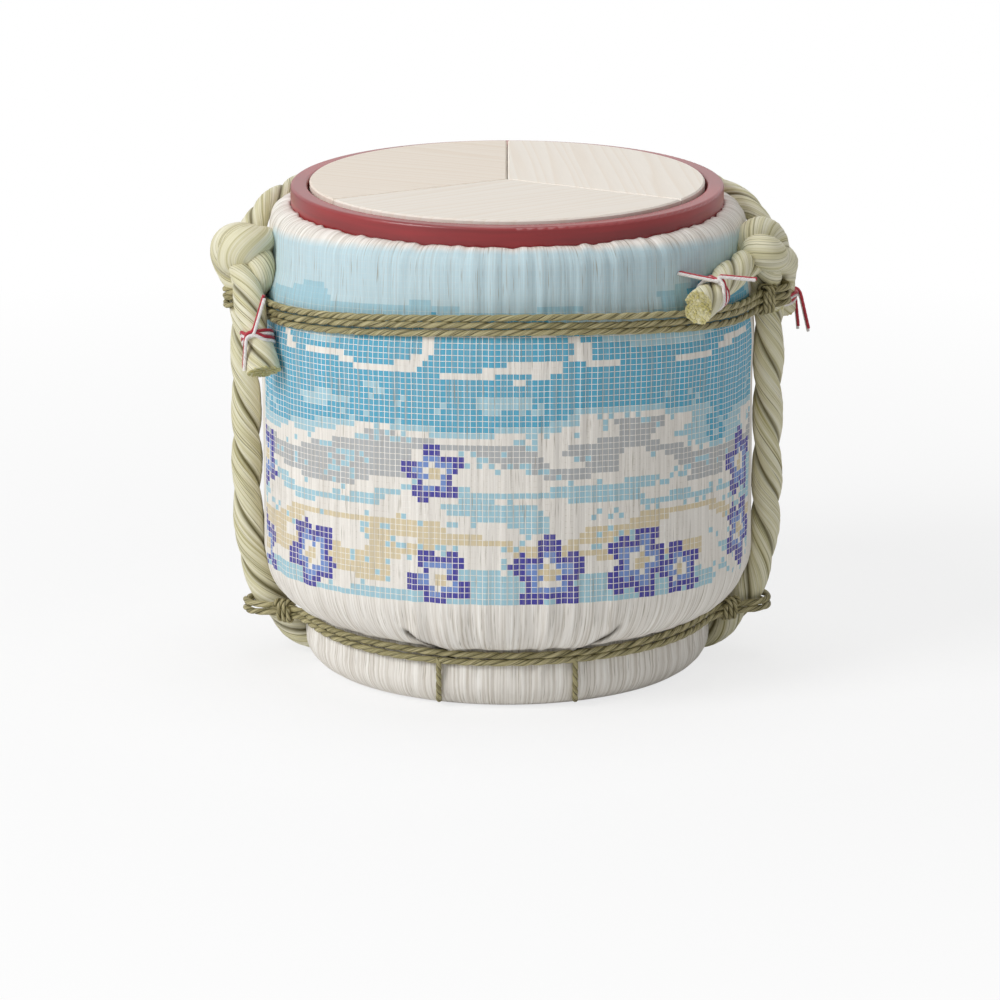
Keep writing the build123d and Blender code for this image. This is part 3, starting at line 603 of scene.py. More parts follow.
# Bleached straw with a screen print: matt, white, upright stalks 1 to 2 mm wide with fine cracks between.
# The print is a mosaic of small squares: mist bands over a clear sky, with drifting five-petalled blossoms.
mat_straw, tree, shader = new_material("bleached_straw_print")
squares = add_node(tree, "ShaderNodeUVMap", uv_map="print_squares")
flat = add_node(tree, "ShaderNodeSeparateXYZ", [squares]).outputs
panel = add_node(tree, "ShaderNodeMath", [flat["X"], -PANEL_HALF, PANEL_HALF], operation="WRAP")
panel_place = add_node(tree, "ShaderNodeCombineXYZ", [panel, flat["Y"]])
square = add_node(tree, "ShaderNodeVectorMath", [panel_place], operation="FLOOR")
within = add_node(tree, "ShaderNodeVectorMath", [panel_place], operation="FRACTION")
middle = (0.5, 0.5, 0.0)
off_middle = add_node(tree, "ShaderNodeVectorMath", [within, middle], operation="SUBTRACT")
off_size = add_node(tree, "ShaderNodeVectorMath", [off_middle], operation="ABSOLUTE")
off = add_node(tree, "ShaderNodeSeparateXYZ", [off_size]).outputs
off_most = add_node(tree, "ShaderNodeMath", [off["X"], off["Y"]], operation="MAXIMUM")
inked = add_node(tree, "ShaderNodeMath", [off_most, SQUARE_HALF], operation="LESS_THAN")
row = add_node(tree, "ShaderNodeSeparateXYZ", [square]).outputs["Y"]

# Bands of mist: a slow noise, long across and low, shifts the colours of the sky from row to row
mist_step = (1 / MIST_SQUARES[0], 1 / MIST_SQUARES[1], 0.0)
band = add_node(tree, "ShaderNodeVectorMath", [square, mist_step], operation="MULTIPLY")
mist = add_node(tree, "ShaderNodeTexNoise", {"Vector": band, "Scale": 1.0, "Detail": 1.5})
level = add_node(tree, "ShaderNodeMath", [row, 1 / PRINT_ROWS, MIST_FOOT], operation="MULTIPLY_ADD")
shifted = add_node(tree, "ShaderNodeMath", [mist, MIST_SHIFT, level], operation="MULTIPLY_ADD")
sky = add_node(
    tree, "ShaderNodeValToRGB", {"Fac": shifted}, blend="CONSTANT",
    stops=[
        (0.0, INK_PALE), (0.05, MAT_WHITE), (0.13, INK_TAN), (0.18, MAT_WHITE), (0.25, INK_PALE),
        (0.29, MAT_WHITE), (0.36, INK_GREY), (0.43, MAT_WHITE), (0.47, INK_PALE), (0.51, INK_SKY),
        (0.66, MAT_WHITE), (0.68, INK_SKY), (0.75, INK_PALE), (0.82, INK_HAZE),
    ],
)

# Blossoms: one in most cells of a loose lattice, five petals round a pale heart
lattice = add_node(tree, "ShaderNodeVectorMath", {0: square, "Scale": 1 / BLOSSOM_STEP}, operation="SCALE")
seeds = add_node(
    tree, "ShaderNodeTexVoronoi", {"Vector": lattice, "Scale": 1.0, "Randomness": 0.5},
    voronoi_dimensions="2D",
).outputs
arm = add_node(tree, "ShaderNodeVectorMath", [lattice, seeds["Position"]], operation="SUBTRACT")
arm_part = add_node(tree, "ShaderNodeSeparateXYZ", [arm]).outputs
luck = add_node(tree, "ShaderNodeSeparateColor", [seeds["Color"]]).outputs
reach = add_node(tree, "ShaderNodeMath", [seeds["Distance"], BLOSSOM_STEP], operation="MULTIPLY")
bearing = add_node(tree, "ShaderNodeMath", [arm_part["Y"], arm_part["X"]], operation="ARCTAN2")
spin = add_node(tree, "ShaderNodeMath", [luck["Blue"], BLOSSOM_TURN, bearing], operation="MULTIPLY_ADD")
petal_turn = add_node(tree, "ShaderNodeMath", [spin, PETALS / 2], operation="MULTIPLY")
swing = add_node(tree, "ShaderNodeMath", [petal_turn], operation="COSINE")
petal_wave = add_node(tree, "ShaderNodeMath", [swing], operation="ABSOLUTE")
petal = add_node(tree, "ShaderNodeMath", [petal_wave, PETAL_SWELL, PETAL_NOTCH], operation="MULTIPLY_ADD")
size = add_node(tree, "ShaderNodeMath", [luck["Red"], BLOSSOM_SPREAD, BLOSSOM_SIZE], operation="MULTIPLY_ADD")
edge = add_node(tree, "ShaderNodeMath", [petal, size], operation="MULTIPLY")
depth = add_node(tree, "ShaderNodeMath", [reach, edge], operation="DIVIDE")
blossom = add_node(
    tree, "ShaderNodeValToRGB", {"Fac": depth}, blend="CONSTANT",
    stops=[(0.0, INK_TAN), (0.24, MAT_WHITE), (0.36, INK_BLUE), (0.62, INK_INDIGO)],
)
seed_row = add_node(tree, "ShaderNodeSeparateXYZ", [seeds["Position"]]).outputs["Y"]
bloom_mask = add_node(tree, "ShaderNodeMath", [depth, 1.0], operation="LESS_THAN")
for value, limit, test in (
    (luck["Green"], BLOSSOM_MISSING, "GREATER_THAN"), (seed_row, BLOSSOM_ROWS / BLOSSOM_STEP, "LESS_THAN"),
):
    here = add_node(tree, "ShaderNodeMath", [value, limit], operation=test)
    bloom_mask = add_node(tree, "ShaderNodeMath", [bloom_mask, here], operation="MULTIPLY")

# Loose petals: single squares scattered where a second slow noise is strong
drift = add_node(tree, "ShaderNodeTexNoise", {"Vector": band, "Scale": PETAL_DRIFT, "Detail": 0.0})
toss = add_node(tree, "ShaderNodeTexWhiteNoise", {"Vector": square}, noise_dimensions="2D").outputs
toss_red = add_node(tree, "ShaderNodeSeparateColor", [toss["Color"]]).outputs["Red"]
petal_tone = add_node(
    tree, "ShaderNodeValToRGB", {"Fac": toss_red}, blend="CONSTANT",
    stops=[(0.0, INK_PALE), (0.5, MAT_WHITE), (0.75, INK_BLUE)],
)

# Stalks and the cracks between them
stalk_place = add_node(tree, "ShaderNodeVectorMath", [squares, STALK_PLACE], operation="MULTIPLY")
stalk_tone = add_node(
    tree, "ShaderNodeTexNoise", {"Vector": stalk_place, "Scale": 1.0, "Detail": 3.0, "Roughness": 0.6}
)
crack_place = add_node(tree, "ShaderNodeVectorMath", [squares, CRACK_PLACE], operation="MULTIPLY")
crack = add_node(tree, "ShaderNodeTexNoise", {"Vector": crack_place, "Scale": 1.0, "Detail": 2.0})
bare = add_node(
    tree, "ShaderNodeValToRGB", {"Fac": stalk_tone},
    stops=[(0.28, MAT_SHADE), (0.5, MAT_WHITE), (0.75, MAT_BRIGHT)],
)

# Ink stays inside the panel, thins towards the shoulder, and misses a few stalks.
# Each share runs from one value to another, and from one strength to another.
shares = {
    "strewn": (drift, 0.45, 0.75, 0.0, 0.4),
    "below_top": (flat["Y"], PRINT_ROWS - 1.5, PRINT_ROWS, 1.0, 0.0),
    "bleed": (flat["Y"], ROPE_ROW - 1, ROPE_ROW + 3, 0.0, 0.88),
    "hold": (stalk_tone, 0.28, 0.5, 0.72, 0.96),
    "sheen": (stalk_tone, 0.3, 0.65, 0.86, 1.04),
    "gap": (crack, 0.4, 0.26, 0.0, 0.75),
}
for name, ends in shares.items():
    shares[name] = add_node(tree, "ShaderNodeMapRange", ends)
fallen = add_node(tree, "ShaderNodeMath", [toss["Value"], shares["strewn"]], operation="LESS_THAN")
low_rows = add_node(tree, "ShaderNodeMath", [row, PETAL_ROWS], operation="LESS_THAN")
petal_mask = add_node(tree, "ShaderNodeMath", [fallen, low_rows], operation="MULTIPLY")
picture = sky
for mask, layer in ((petal_mask, petal_tone), (bloom_mask, blossom)):
    picture = add_node(tree, "ShaderNodeMix", {0: mask, 6: picture, 7: layer}, data_type="RGBA").outputs[2]
panel_off = add_node(tree, "ShaderNodeMath", [panel], operation="ABSOLUTE")
in_columns = add_node(tree, "ShaderNodeMath", [panel_off, PRINT_COLUMNS], operation="LESS_THAN")
above_foot = add_node(tree, "ShaderNodeMath", [flat["Y"], 0.0], operation="GREATER_THAN")
ink = add_node(tree, "ShaderNodeMath", [inked, shares["bleed"]], operation="MAXIMUM")
for share in (in_columns, above_foot, shares["hold"], shares["below_top"]):
    ink = add_node(tree, "ShaderNodeMath", [ink, share], operation="MULTIPLY")
printed = add_node(tree, "ShaderNodeMix", {0: ink, 6: bare, 7: picture}, data_type="RGBA").outputs[2]
shown = add_node(tree, "ShaderNodeVectorMath", {0: printed, "Scale": shares["sheen"]}, operation="SCALE")
# Painted shade darkens the slits of the tucks, after the cracks between stalks
slit_shade_share = add_node(tree, "ShaderNodeAttribute", attribute_name="slit_painted_shade").outputs["Fac"]
for share, code in ((shares["gap"], MAT_CRACK), (slit_shade_share, MAT_SLIT_SHADE)):
    shown = add_node(
        tree, "ShaderNodeMix", {0: share, 6: shown, 7: colour(code)}, data_type="RGBA"
    ).outputs[2]
relief = add_node(tree, "ShaderNodeBump", {"Strength": 0.55, "Distance": 0.5 * MM, "Height": stalk_tone})
surface = {"Roughness": 0.72, "Specular IOR Level": 0.25}
set_inputs(tree, shader, {"Base Color": shown, "Normal": relief, **surface})
mat.data.materials.append(mat_straw)
seat(mat, "straw_mat", "straw_mat")


# Side rope: two thick strands of rice straw laid together, up both sides and under the base.
# Pale greenish straw; the stalks show along each strand and the strands turn once in about 54 mm.

SIDE_BEND = 52.0
SIDE_ROPE_REACH = 117.3
SIDE_ROPE_TOP = 170.0
SIDE_ROPE_LAY = 54.0
STALK_LENGTH = 29.412 * MM    # over which a stalk keeps its tone along the rope
GRIT = 0.66667 * MM        # specks on a cut end
ROPE_STEPS = 10
LAY_SHIFT = 0.3            # of a lay, by which strands turn early or late
LAY_PACE = 0.7             # such shifts in one lay
SWELL_PACE = 2.6           # thick and thin places in one lay
RIDGES = 5.5               # of stalks, in the radius of a rope
RIDGE_LENGTH = 50 * MM
BRISTLE_RADIUS = 0.5 * MM
BRISTLE_LENGTH = 1.0 * MM
BRISTLE_SHORTEST = 0.35    # of that length
BRISTLE_CUT = 0.7          # how far its colour is a cut end's


# Rice straw, twisted green and dried: satin stalks, cut ends yellower and rough
def twisted_straw(name, crease_shade, dark, mid, pale, cut, stalks):
    """Straw for a rope; stalks is how many show round one rope, and the first colour after the name is
    painted shade in the creases between its strands and in the hairlines between its leaves.
    """
    material, tree, shader = new_material(name)
    place = add_node(tree, "ShaderNodeAttribute", attribute_name="rope_place").outputs["Vector"]
    end = add_node(tree, "ShaderNodeAttribute", attribute_name="cut_end").outputs["Fac"]
    groove = add_node(tree, "ShaderNodeAttribute", attribute_name="groove").outputs["Fac"]
    close = (stalks / 4, stalks / 4, 1 / STALK_LENGTH)
    stretch = add_node(tree, "ShaderNodeVectorMath", [place, close], operation="MULTIPLY")
    stalk, broad, leaf = [
        add_node(tree, "ShaderNodeTexNoise", {"Vector": stretch, "Scale": size, "Detail": detail})
        for size, detail in ((1.0, 3.0), (0.28, 1.0), (0.24, 1.0))
    ]
    both = add_node(tree, "ShaderNodeMix", {0: 0.5, 2: stalk, 3: broad})
    tones = [(0.32, dark), (0.46, mid), (0.62, pale)]
    tone = add_node(tree, "ShaderNodeValToRGB", {"Fac": both}, stops=tones)
    spot = add_node(tree, "ShaderNodeTexCoord").outputs["Object"]
    speck = add_node(tree, "ShaderNodeTexNoise", {"Vector": spot, "Scale": 1 / GRIT, "Detail": 2.0})
    section = add_node(tree, "ShaderNodeValToRGB", {"Fac": speck}, stops=[(0.35, dark), (0.6, cut)])

    # Hairlines between leaves of straw, where the stalks lie low, painted with the same shade as the creases
    leaf_off = add_node(tree, "ShaderNodeMath", [leaf, 0.5], operation="SUBTRACT")
    leaf_edge = add_node(tree, "ShaderNodeMath", [leaf_off], operation="ABSOLUTE")
    hairline = add_node(
        tree, "ShaderNodeMapRange",
        {"Value": leaf_edge, "From Min": 0.008, "From Max": 0.03, "To Min": 0.75, "To Max": 0.0},
    )
    here = add_node(tree, "ShaderNodeMapRange", {"Value": stalk, "From Min": 0.6, "From Max": 0.42})
    split = add_node(tree, "ShaderNodeMath", [hairline, here], operation="MULTIPLY")
    # Painted shade: the creases between strands and the hairlines darken the straw
    low = add_node(tree, "ShaderNodeMath", [groove, split], operation="MAXIMUM")
    shaded = add_node(tree, "ShaderNodeMix", {0: low, 6: tone, 7: colour(crease_shade)}, data_type="RGBA").outputs[2]
    shown = add_node(tree, "ShaderNodeMix", {0: end, 6: shaded, 7: section}, data_type="RGBA").outputs[2]
    relief = add_node(tree, "ShaderNodeBump", {"Strength": 0.7, "Distance": 0.5 * MM, "Height": stalk})
    surface = {"Roughness": 0.52, "Specular IOR Level": 0.35}
    set_inputs(tree, shader, {"Base Color": shown, "Normal": relief, **surface})
    return material


def laid_rope_tree():
    """Rope along a curve: a lobed section turned along the way, with stalk ridges and bristly cut ends."""
    tree = bpy.data.node_groups.new("laid_rope", "GeometryNodeTree")
    sockets = {
        "Line": "Geometry", "Radius": "Float", "Strands": "Float", "Lay": "Float", "Crease": "Float",
        "Ridge": "Float", "Uneven": "Float", "Step": "Float", "Sides": "Int", "Bristle": "Float",
        "Seed": "Int", "Straw": "Material",
    }
    for name, kind in sockets.items():
        tree.interface.new_socket(name, in_out="INPUT", socket_type="NodeSocket" + kind)
    tree.interface.new_socket("Rope", in_out="OUTPUT", socket_type="NodeSocketGeometry")
    given = add_node(tree, "NodeGroupInput").outputs

    # The way along the rope; the tilt of a point says how far its strands are pressed into one
    even = add_node(
        tree, "GeometryNodeResampleCurve", {"Curve": given["Line"], "Length": given["Step"]}, mode="LENGTH"
    )
    far = add_node(tree, "GeometryNodeSplineParameter").outputs["Length"]
    kept_way = add_node(tree, "GeometryNodeCaptureAttribute", {"Geometry": even})
    way_parts = {
        "far": ("FLOAT", far),
        "middle": ("VECTOR", add_node(tree, "GeometryNodeInputPosition")),
        "pressed": ("FLOAT", add_node(tree, "GeometryNodeInputCurveTilt")),
    }
    for name, (kind, value) in way_parts.items():
        kept_way.capture_items.new(kind, name)
        set_inputs(tree, kept_way, {name: value})
    way = kept_way.outputs
    lays = add_node(tree, "ShaderNodeMath", [far, given["Lay"]], operation="DIVIDE")
    pace, swell = [
        add_node(tree, "ShaderNodeTexNoise", {"W": lays, "Scale": size, "Detail": 1.0}, noise_dimensions="1D")
        for size in (LAY_PACE, SWELL_PACE)
    ]
    turns = add_node(tree, "ShaderNodeMath", [pace, LAY_SHIFT, lays], operation="MULTIPLY_ADD")
    tilt = add_node(tree, "ShaderNodeMath", [turns, -2 * pi], operation="MULTIPLY")
    turned = add_node(tree, "GeometryNodeSetCurveTilt", {"Curve": way["Geometry"], "Tilt": tilt})

    # The sweep: thicker and thinner along the way
    ring = add_node(
        tree, "GeometryNodeCurvePrimitiveCircle", {"Resolution": given["Sides"], "Radius": given["Radius"]}
    )
    share = add_node(tree, "GeometryNodeSplineParameter").outputs["Factor"]
    kept_share = add_node(tree, "GeometryNodeCaptureAttribute", {"Geometry": ring})
    kept_share.capture_items.new("FLOAT", "share")
    set_inputs(tree, kept_share, {"share": share})
    swell_off = add_node(tree, "ShaderNodeMath", [swell, 0.5], operation="SUBTRACT")
    uneven = add_node(tree, "ShaderNodeMath", [swell_off, given["Uneven"], 1.0], operation="MULTIPLY_ADD")
    drawn = add_node(tree, "GeometryNodeInputRadius")
    girth = add_node(tree, "ShaderNodeMath", [uneven, drawn], operation="MULTIPLY")
    swept = add_node(tree, "GeometryNodeCurveToMesh", {
        "Curve": turned, "Profile Curve": kept_share.outputs["Geometry"], "Scale": girth,
        "Fill Caps": True,
    })

    # The strands: one lobe for each, with ridges of single stalks
    share = kept_share.outputs["share"]
    angle = add_node(tree, "ShaderNodeMath", [share, 2 * pi], operation="MULTIPLY")
    spoke_x = add_node(tree, "ShaderNodeMath", [angle], operation="COSINE")
    spoke_y = add_node(tree, "ShaderNodeMath", [angle], operation="SINE")
    spoke = add_node(tree, "ShaderNodeCombineXYZ", [spoke_x, spoke_y])
    half_turn = add_node(tree, "ShaderNodeMath", [angle, given["Strands"]], operation="MULTIPLY")
    half_angle = add_node(tree, "ShaderNodeMath", [half_turn, 0.5], operation="MULTIPLY")
    hump = add_node(tree, "ShaderNodeMath", [half_angle], operation="SINE")
    hump_size = add_node(tree, "ShaderNodeMath", [hump], operation="ABSOLUTE")
    rounded = add_node(tree, "ShaderNodeMath", [hump_size, 0.5], operation="POWER")
    sunk = add_node(tree, "ShaderNodeMath", [rounded, 1.0], operation="SUBTRACT")
    open_share = add_node(tree, "ShaderNodeMath", [1.0, way["pressed"]], operation="SUBTRACT")
    crease = add_node(tree, "ShaderNodeMath", [open_share, given["Crease"]], operation="MULTIPLY")
    lobes = add_node(tree, "ShaderNodeMath", [sunk, crease, 1.0], operation="MULTIPLY_ADD")
    stalk_place = add_node(tree, "ShaderNodeVectorMath", {0: spoke, "Scale": RIDGES}, operation="SCALE")
    run = add_node(tree, "ShaderNodeMath", [way["far"], 1 / RIDGE_LENGTH], operation="MULTIPLY")
    along = add_node(tree, "ShaderNodeCombineXYZ", {2: run})
    stalk_spot = add_node(tree, "ShaderNodeVectorMath", [stalk_place, along], operation="ADD")
    stalk = add_node(tree, "ShaderNodeTexNoise", {"Vector": stalk_spot, "Scale": 1.0, "Detail": 1.0})
    stalk_off = add_node(tree, "ShaderNodeMath", [stalk, 0.5], operation="SUBTRACT")
    ridged = add_node(tree, "ShaderNodeMath", [stalk_off, given["Ridge"], lobes], operation="MULTIPLY_ADD")
    place = add_node(tree, "GeometryNodeInputPosition")
    outward = add_node(tree, "ShaderNodeVectorMath", [place, way["middle"]], operation="SUBTRACT")
    scaled = add_node(tree, "ShaderNodeVectorMath", {0: outward, "Scale": ridged}, operation="SCALE")
    pressed_in = add_node(tree, "ShaderNodeVectorMath", [way["middle"], scaled], operation="ADD")
    rope = add_node(tree, "GeometryNodeSetPosition", {"Geometry": swept, "Position": pressed_in})
    # Painted shade for the straw: how near each point lies to a crease between open strands
    near_groove = add_node(
        tree, "ShaderNodeMapRange",
        {"Value": hump_size, "From Min": 0.04, "From Max": 0.34, "To Min": 0.9, "To Max": 0.0},
    )
    groove = add_node(tree, "ShaderNodeMath", [near_groove, open_share], operation="MULTIPLY")
    upward = add_node(tree, "ShaderNodeCombineXYZ", {2: way["far"]})
    rope_place = add_node(tree, "ShaderNodeVectorMath", [spoke, upward], operation="ADD")
    corners = add_node(tree, "GeometryNodeInputMeshFaceNeighbors").outputs["Vertex Count"]
    is_cut = add_node(
        tree, "FunctionNodeCompare", {2: corners, 3: 4}, data_type="INT", operation="GREATER_THAN"
    )
    marks = (
        ("groove", groove, "FLOAT", "POINT"), ("rope_place", rope_place, "FLOAT_VECTOR", "POINT"),
        ("cut_end", is_cut, "FLOAT", "FACE"),
    )
    for name, value, kind, domain in marks:
        rope = add_node(tree, "GeometryNodeStoreNamedAttribute", {
            "Geometry": rope, "Name": name, "Value": value}, data_type=kind, domain=domain)
    is_round = add_node(tree, "FunctionNodeBooleanMath", [is_cut], operation="NOT")
    smooth = add_node(tree, "GeometryNodeSetShadeSmooth", {"Geometry": rope, "Shade Smooth": is_round})

    # Bristles: short stalks that stand out of the cut ends
    tips = add_node(tree, "GeometryNodeDistributePointsOnFaces", {
        "Mesh": smooth, "Selection": is_cut, "Density": given["Bristle"], "Seed": given["Seed"]})
    stub = add_node(tree, "GeometryNodeMeshCylinder", {
        "Vertices": 6, "Radius": BRISTLE_RADIUS, "Depth": BRISTLE_LENGTH})
    stub_end = add_node(tree, "GeometryNodeStoreNamedAttribute", {
        "Geometry": stub.outputs["Mesh"], "Name": "cut_end", "Value": BRISTLE_CUT,
    }, data_type="FLOAT", domain="FACE")
    long = add_node(
        tree, "FunctionNodeRandomValue", {2: BRISTLE_SHORTEST, 3: 1.0, "Seed": given["Seed"]},
        data_type="FLOAT",
    ).outputs[1]
    stretch = add_node(tree, "ShaderNodeCombineXYZ", [1.0, 1.0, long])
    stubs = add_node(tree, "GeometryNodeInstanceOnPoints", {
        "Points": tips.outputs["Points"], "Instance": stub_end,
        "Rotation": tips.outputs["Rotation"], "Scale": stretch})
    joined = add_node(tree, "GeometryNodeJoinGeometry")
    for part in (stubs, smooth):
        set_inputs(tree, joined, [part])
    real = add_node(tree, "GeometryNodeRealizeInstances", {"Geometry": joined})
    finished = add_node(tree, "GeometryNodeSetMaterial", {"Geometry": real, "Material": given["Straw"]})
    add_node(tree, "NodeGroupOutput", [finished])
    return tree


ROPE_TREE = laid_rope_tree()


def lay_rope(name, runs, pressed=(), **sizes):
    """Plain mesh of rope along smooth lines; runs and pressed are as smooth_line takes them."""
    carrier = smooth_line(name + "_line", runs, ROPE_STEPS, pressed)
    winding = carrier.modifiers.new("laid_rope", "NODES")
    winding.node_group = ROPE_TREE
    for socket in ROPE_TREE.interface.items_tree:
        if socket.in_out == "INPUT" and socket.name in sizes:
            winding[socket.identifier] = sizes[socket.name]
    now = bpy.context.evaluated_depsgraph_get()
    shaped = carrier.evaluated_get(now)
    mesh = bpy.data.meshes.new_from_object(shaped, preserve_all_data_layers=True, depsgraph=now)
    mesh.name = name
    bpy.data.curves.remove(carrier.data)
    return new_object(name, mesh)


# The first colour of the straw is the painted shade in its creases
thick_straw = twisted_straw("twisted_rice_straw", "#635A2E", "#AAA16C", "#DAD4AE", "#ECE8D2", "#CBBF6C", 52)
THICK = {
    "Strands": 2.0, "Crease": 0.36, "Ridge": 0.09, "Uneven": 0.14, "Step": 1.5 * MM, "Sides": 64,
    "Bristle": 9.0e5, "Straw": thick_straw,
}
half_side = [(SIDE_ROPE_REACH, 0.0, up) for up in (SIDE_ROPE_TOP, 110.0, SIDE_BEND)]
half_side += [(108.0, 0.0, 26.0), (91.0, 0.0, 7.4), (60.0, 0.0, 7.3)]
side_points = half_side + [(-x, y, z) for x, y, z in reversed(half_side)]
side_rope = lay_rope(
    "side_rope_laid", [side_points], Radius=SIDE_ROPE_RADIUS * MM, Lay=SIDE_ROPE_LAY * MM, Seed=1, **THICK
)
seat(side_rope, "thick_rope", "side_rope")


# Shoulder rope: the same straw rope, behind the rim hoop and out over the shoulder to both knots.
# It lies in the bed that it has pressed into the mat, and its ends run on into the knots.

SHOULDER_ROPE_LAY = 50.0

shoulder_rope = lay_rope(
    "shoulder_rope_laid", [shoulder_rope_points()], Radius=SHOULDER_ROPE_RADIUS * MM,
    Lay=SHOULDER_ROPE_LAY * MM, Seed=2, **THICK,
)
seat(shoulder_rope, "thick_rope", "shoulder_rope")


# Knots: the side rope rises to each shoulder, is hitched round the shoulder rope and drawn tight.
# Plump bights of the two-strand rope, with one short tail at the front and one at the back.
# Points are out from the middle, towards the front and up, with the girth of the rope there.

KNOT_ROPE_RADIUS = 6.784
KNOT_ROPE_LAY = 50.0
KNOT_ROPE_STEP = 1.0
KNOT_STAND = [(116.4, -4.6, 191.6, 0.85), (118.2, -1.0, 188.4, 0.9), (120.5, 4.0, 185.0, 0.8)]
LEFT_RISE = [
    (117.3, 0.0, 161.0, 1.0), (118.5, 0.0, 172.0, 1.0), (124.5, 0.0, 180.0, 1.0),
    (127.5, 1.5, 188.0, 1.0), (124.0, 2.5, 194.0, 1.0), (115.5, 1.0, 194.0, 0.98),
    (109.0, -3.0, 190.5, 0.85),
]
LEFT_OVER = [
    (120.0, -3.0, 178.0, 0.85), (121.5, 6.0, 183.5, 1.0), (121.8, 15.0, 187.0, 1.08),
    (120.5, 23.0, 190.5, 1.16), (117.0, 28.0, 195.5, 1.24), (111.5, 26.5, 197.5, 1.06),
    (107.4, 19.0, 196.0, 0.95), (107.4, 9.0, 193.5, 0.9), (110.0, 0.0, 191.0, 0.8),
]
LEFT_UNDER = [
    (114.0, 22.0, 192.0, 0.9), (109.8, 26.0, 190.0, 1.0), (108.6, 29.5, 184.0, 1.02),
    (110.6, 28.0, 178.5, 0.95), (114.5, 20.0, 175.5, 0.9), (117.5, 9.0, 176.5, 0.9),
    (119.0, 0.0, 180.0, 0.8),
]
LEFT_TAIL = [
    (117.5, 20.0, 188.0, 0.85), (116.5, 27.0, 184.5, 1.0), (115.0, 34.5, 177.5, 1.04),
    (113.0, 41.0, 169.5, 1.0), (110.6, 45.0, 161.0, 0.86), (109.0, 47.5, 154.0, 1.0),
    (107.0, 53.0, 144.5, 1.14),
]
LEFT_REAR = [
    (121.0, 0.0, 189.5, 0.9), (121.5, -12.0, 183.0, 1.0), (120.0, -24.0, 173.0, 0.95),
    (119.0, -29.0, 165.5, 0.86), (118.0, -32.5, 157.0, 1.1),
]
RIGHT_RISE = [
    (116.6, 0.0, 161.0, 1.05), (114.6, 1.0, 172.0, 1.2), (114.6, 9.0, 181.0, 1.2),
    (114.0, 17.0, 189.0, 1.0), (112.0, 22.0, 195.0, 0.85),
]
RIGHT_OVER = [
    (104.8, 27.0, 187.0, 0.85), (104.6, 25.5, 193.5, 1.05), (108.0, 22.0, 198.2, 1.14),
    (113.0, 16.5, 199.0, 1.18), (117.2, 11.0, 194.8, 1.12), (119.5, 7.0, 188.0, 1.0),
    (119.0, 4.0, 180.0, 0.85),
]
RIGHT_TAIL = [
    (110.0, 26.0, 188.5, 0.8), (104.0, 39.5, 190.0, 1.02), (97.0, 55.5, 188.0, 1.04),
    (90.2, 71.0, 184.8, 0.86), (87.0, 78.5, 183.2, 1.0), (82.6, 88.0, 181.4, 1.14),
]
RIGHT_WRAP = [
    (108.0, 29.0, 193.5, 0.75), (109.6, 36.5, 196.0, 1.04), (113.6, 37.5, 195.0, 1.12),
    (117.4, 32.0, 191.6, 1.1), (119.4, 21.0, 188.0, 0.76), (122.2, 8.0, 185.5, 0.96),
    (123.8, -5.0, 181.5, 1.0), (124.0, -16.0, 173.5, 0.95), (123.8, -20.5, 165.5, 0.86),
    (123.0, -24.0, 156.0, 1.1),
]


def at_side(points, side):
    """Points of a knot at the left (-1) or right (1) of the barrel."""
    return [(side * out, -front, up, girth) for out, front, up, girth in points]


knot_sizes = dict(THICK, Radius=KNOT_ROPE_RADIUS * MM, Lay=KNOT_ROPE_LAY * MM, Step=KNOT_ROPE_STEP * MM)
left_parts = (LEFT_RISE, LEFT_OVER, LEFT_UNDER, LEFT_TAIL, LEFT_REAR, KNOT_STAND)
left_pressed = (0.3, 0.9, 0.9, 0.0, 0.0, 0.3)
right_parts = (RIGHT_RISE, RIGHT_OVER, RIGHT_TAIL, RIGHT_WRAP, KNOT_STAND)
right_pressed = (0.0, 0.9, 0.0, 0.85, 0.3)
for hand, side, knot_parts, pressed, seed in (
    ("left", -1, left_parts, left_pressed, 3), ("right", 1, right_parts, right_pressed, 4),
):
    knot_runs = [at_side(points, side) for points in knot_parts]
    knot = lay_rope(f"{hand}_knot_laid", knot_runs, pressed, Seed=seed, **knot_sizes)
    seat(knot, "thick_rope", f"{hand}_knot")


# Waist ropes: thin two-strand straw rope, three turns under the shoulder and two at the foot.
# Each is one rope, wound tight round the mat and out over both side ropes. Older, olive-brown straw.

WAIST_ROPE_RADIUS = 1.4    # as it lies drawn tight
WAIST_ROPE_FULL = 1.55     # over its lobes
ROPE_GAP = 0.3
TURN_PITCH = 3.3
TURN_WAVES = 6.1           # in the height of one turn
WAVE_SHIFT = 2.3           # from turn to turn
LAST_END = 6.0             # the rope's end, past the middle of the back
SWEEP_IN = 28.0            # radius of the bend where the rope leaves the mat for the side rope


def waist_sweep(reach, bump, bump_radius):
    """Angles at which a turn leaves the mat and meets the curve over the side rope."""
    gap = reach + SWEEP_IN
    near = bump_radius + SWEEP_IN
    leave = acos((gap ** 2 + bump ** 2 - near ** 2) / (2 * gap * bump))
    climb = atan2(gap * sin(leave), gap * cos(leave) - bump)
    return leave, climb


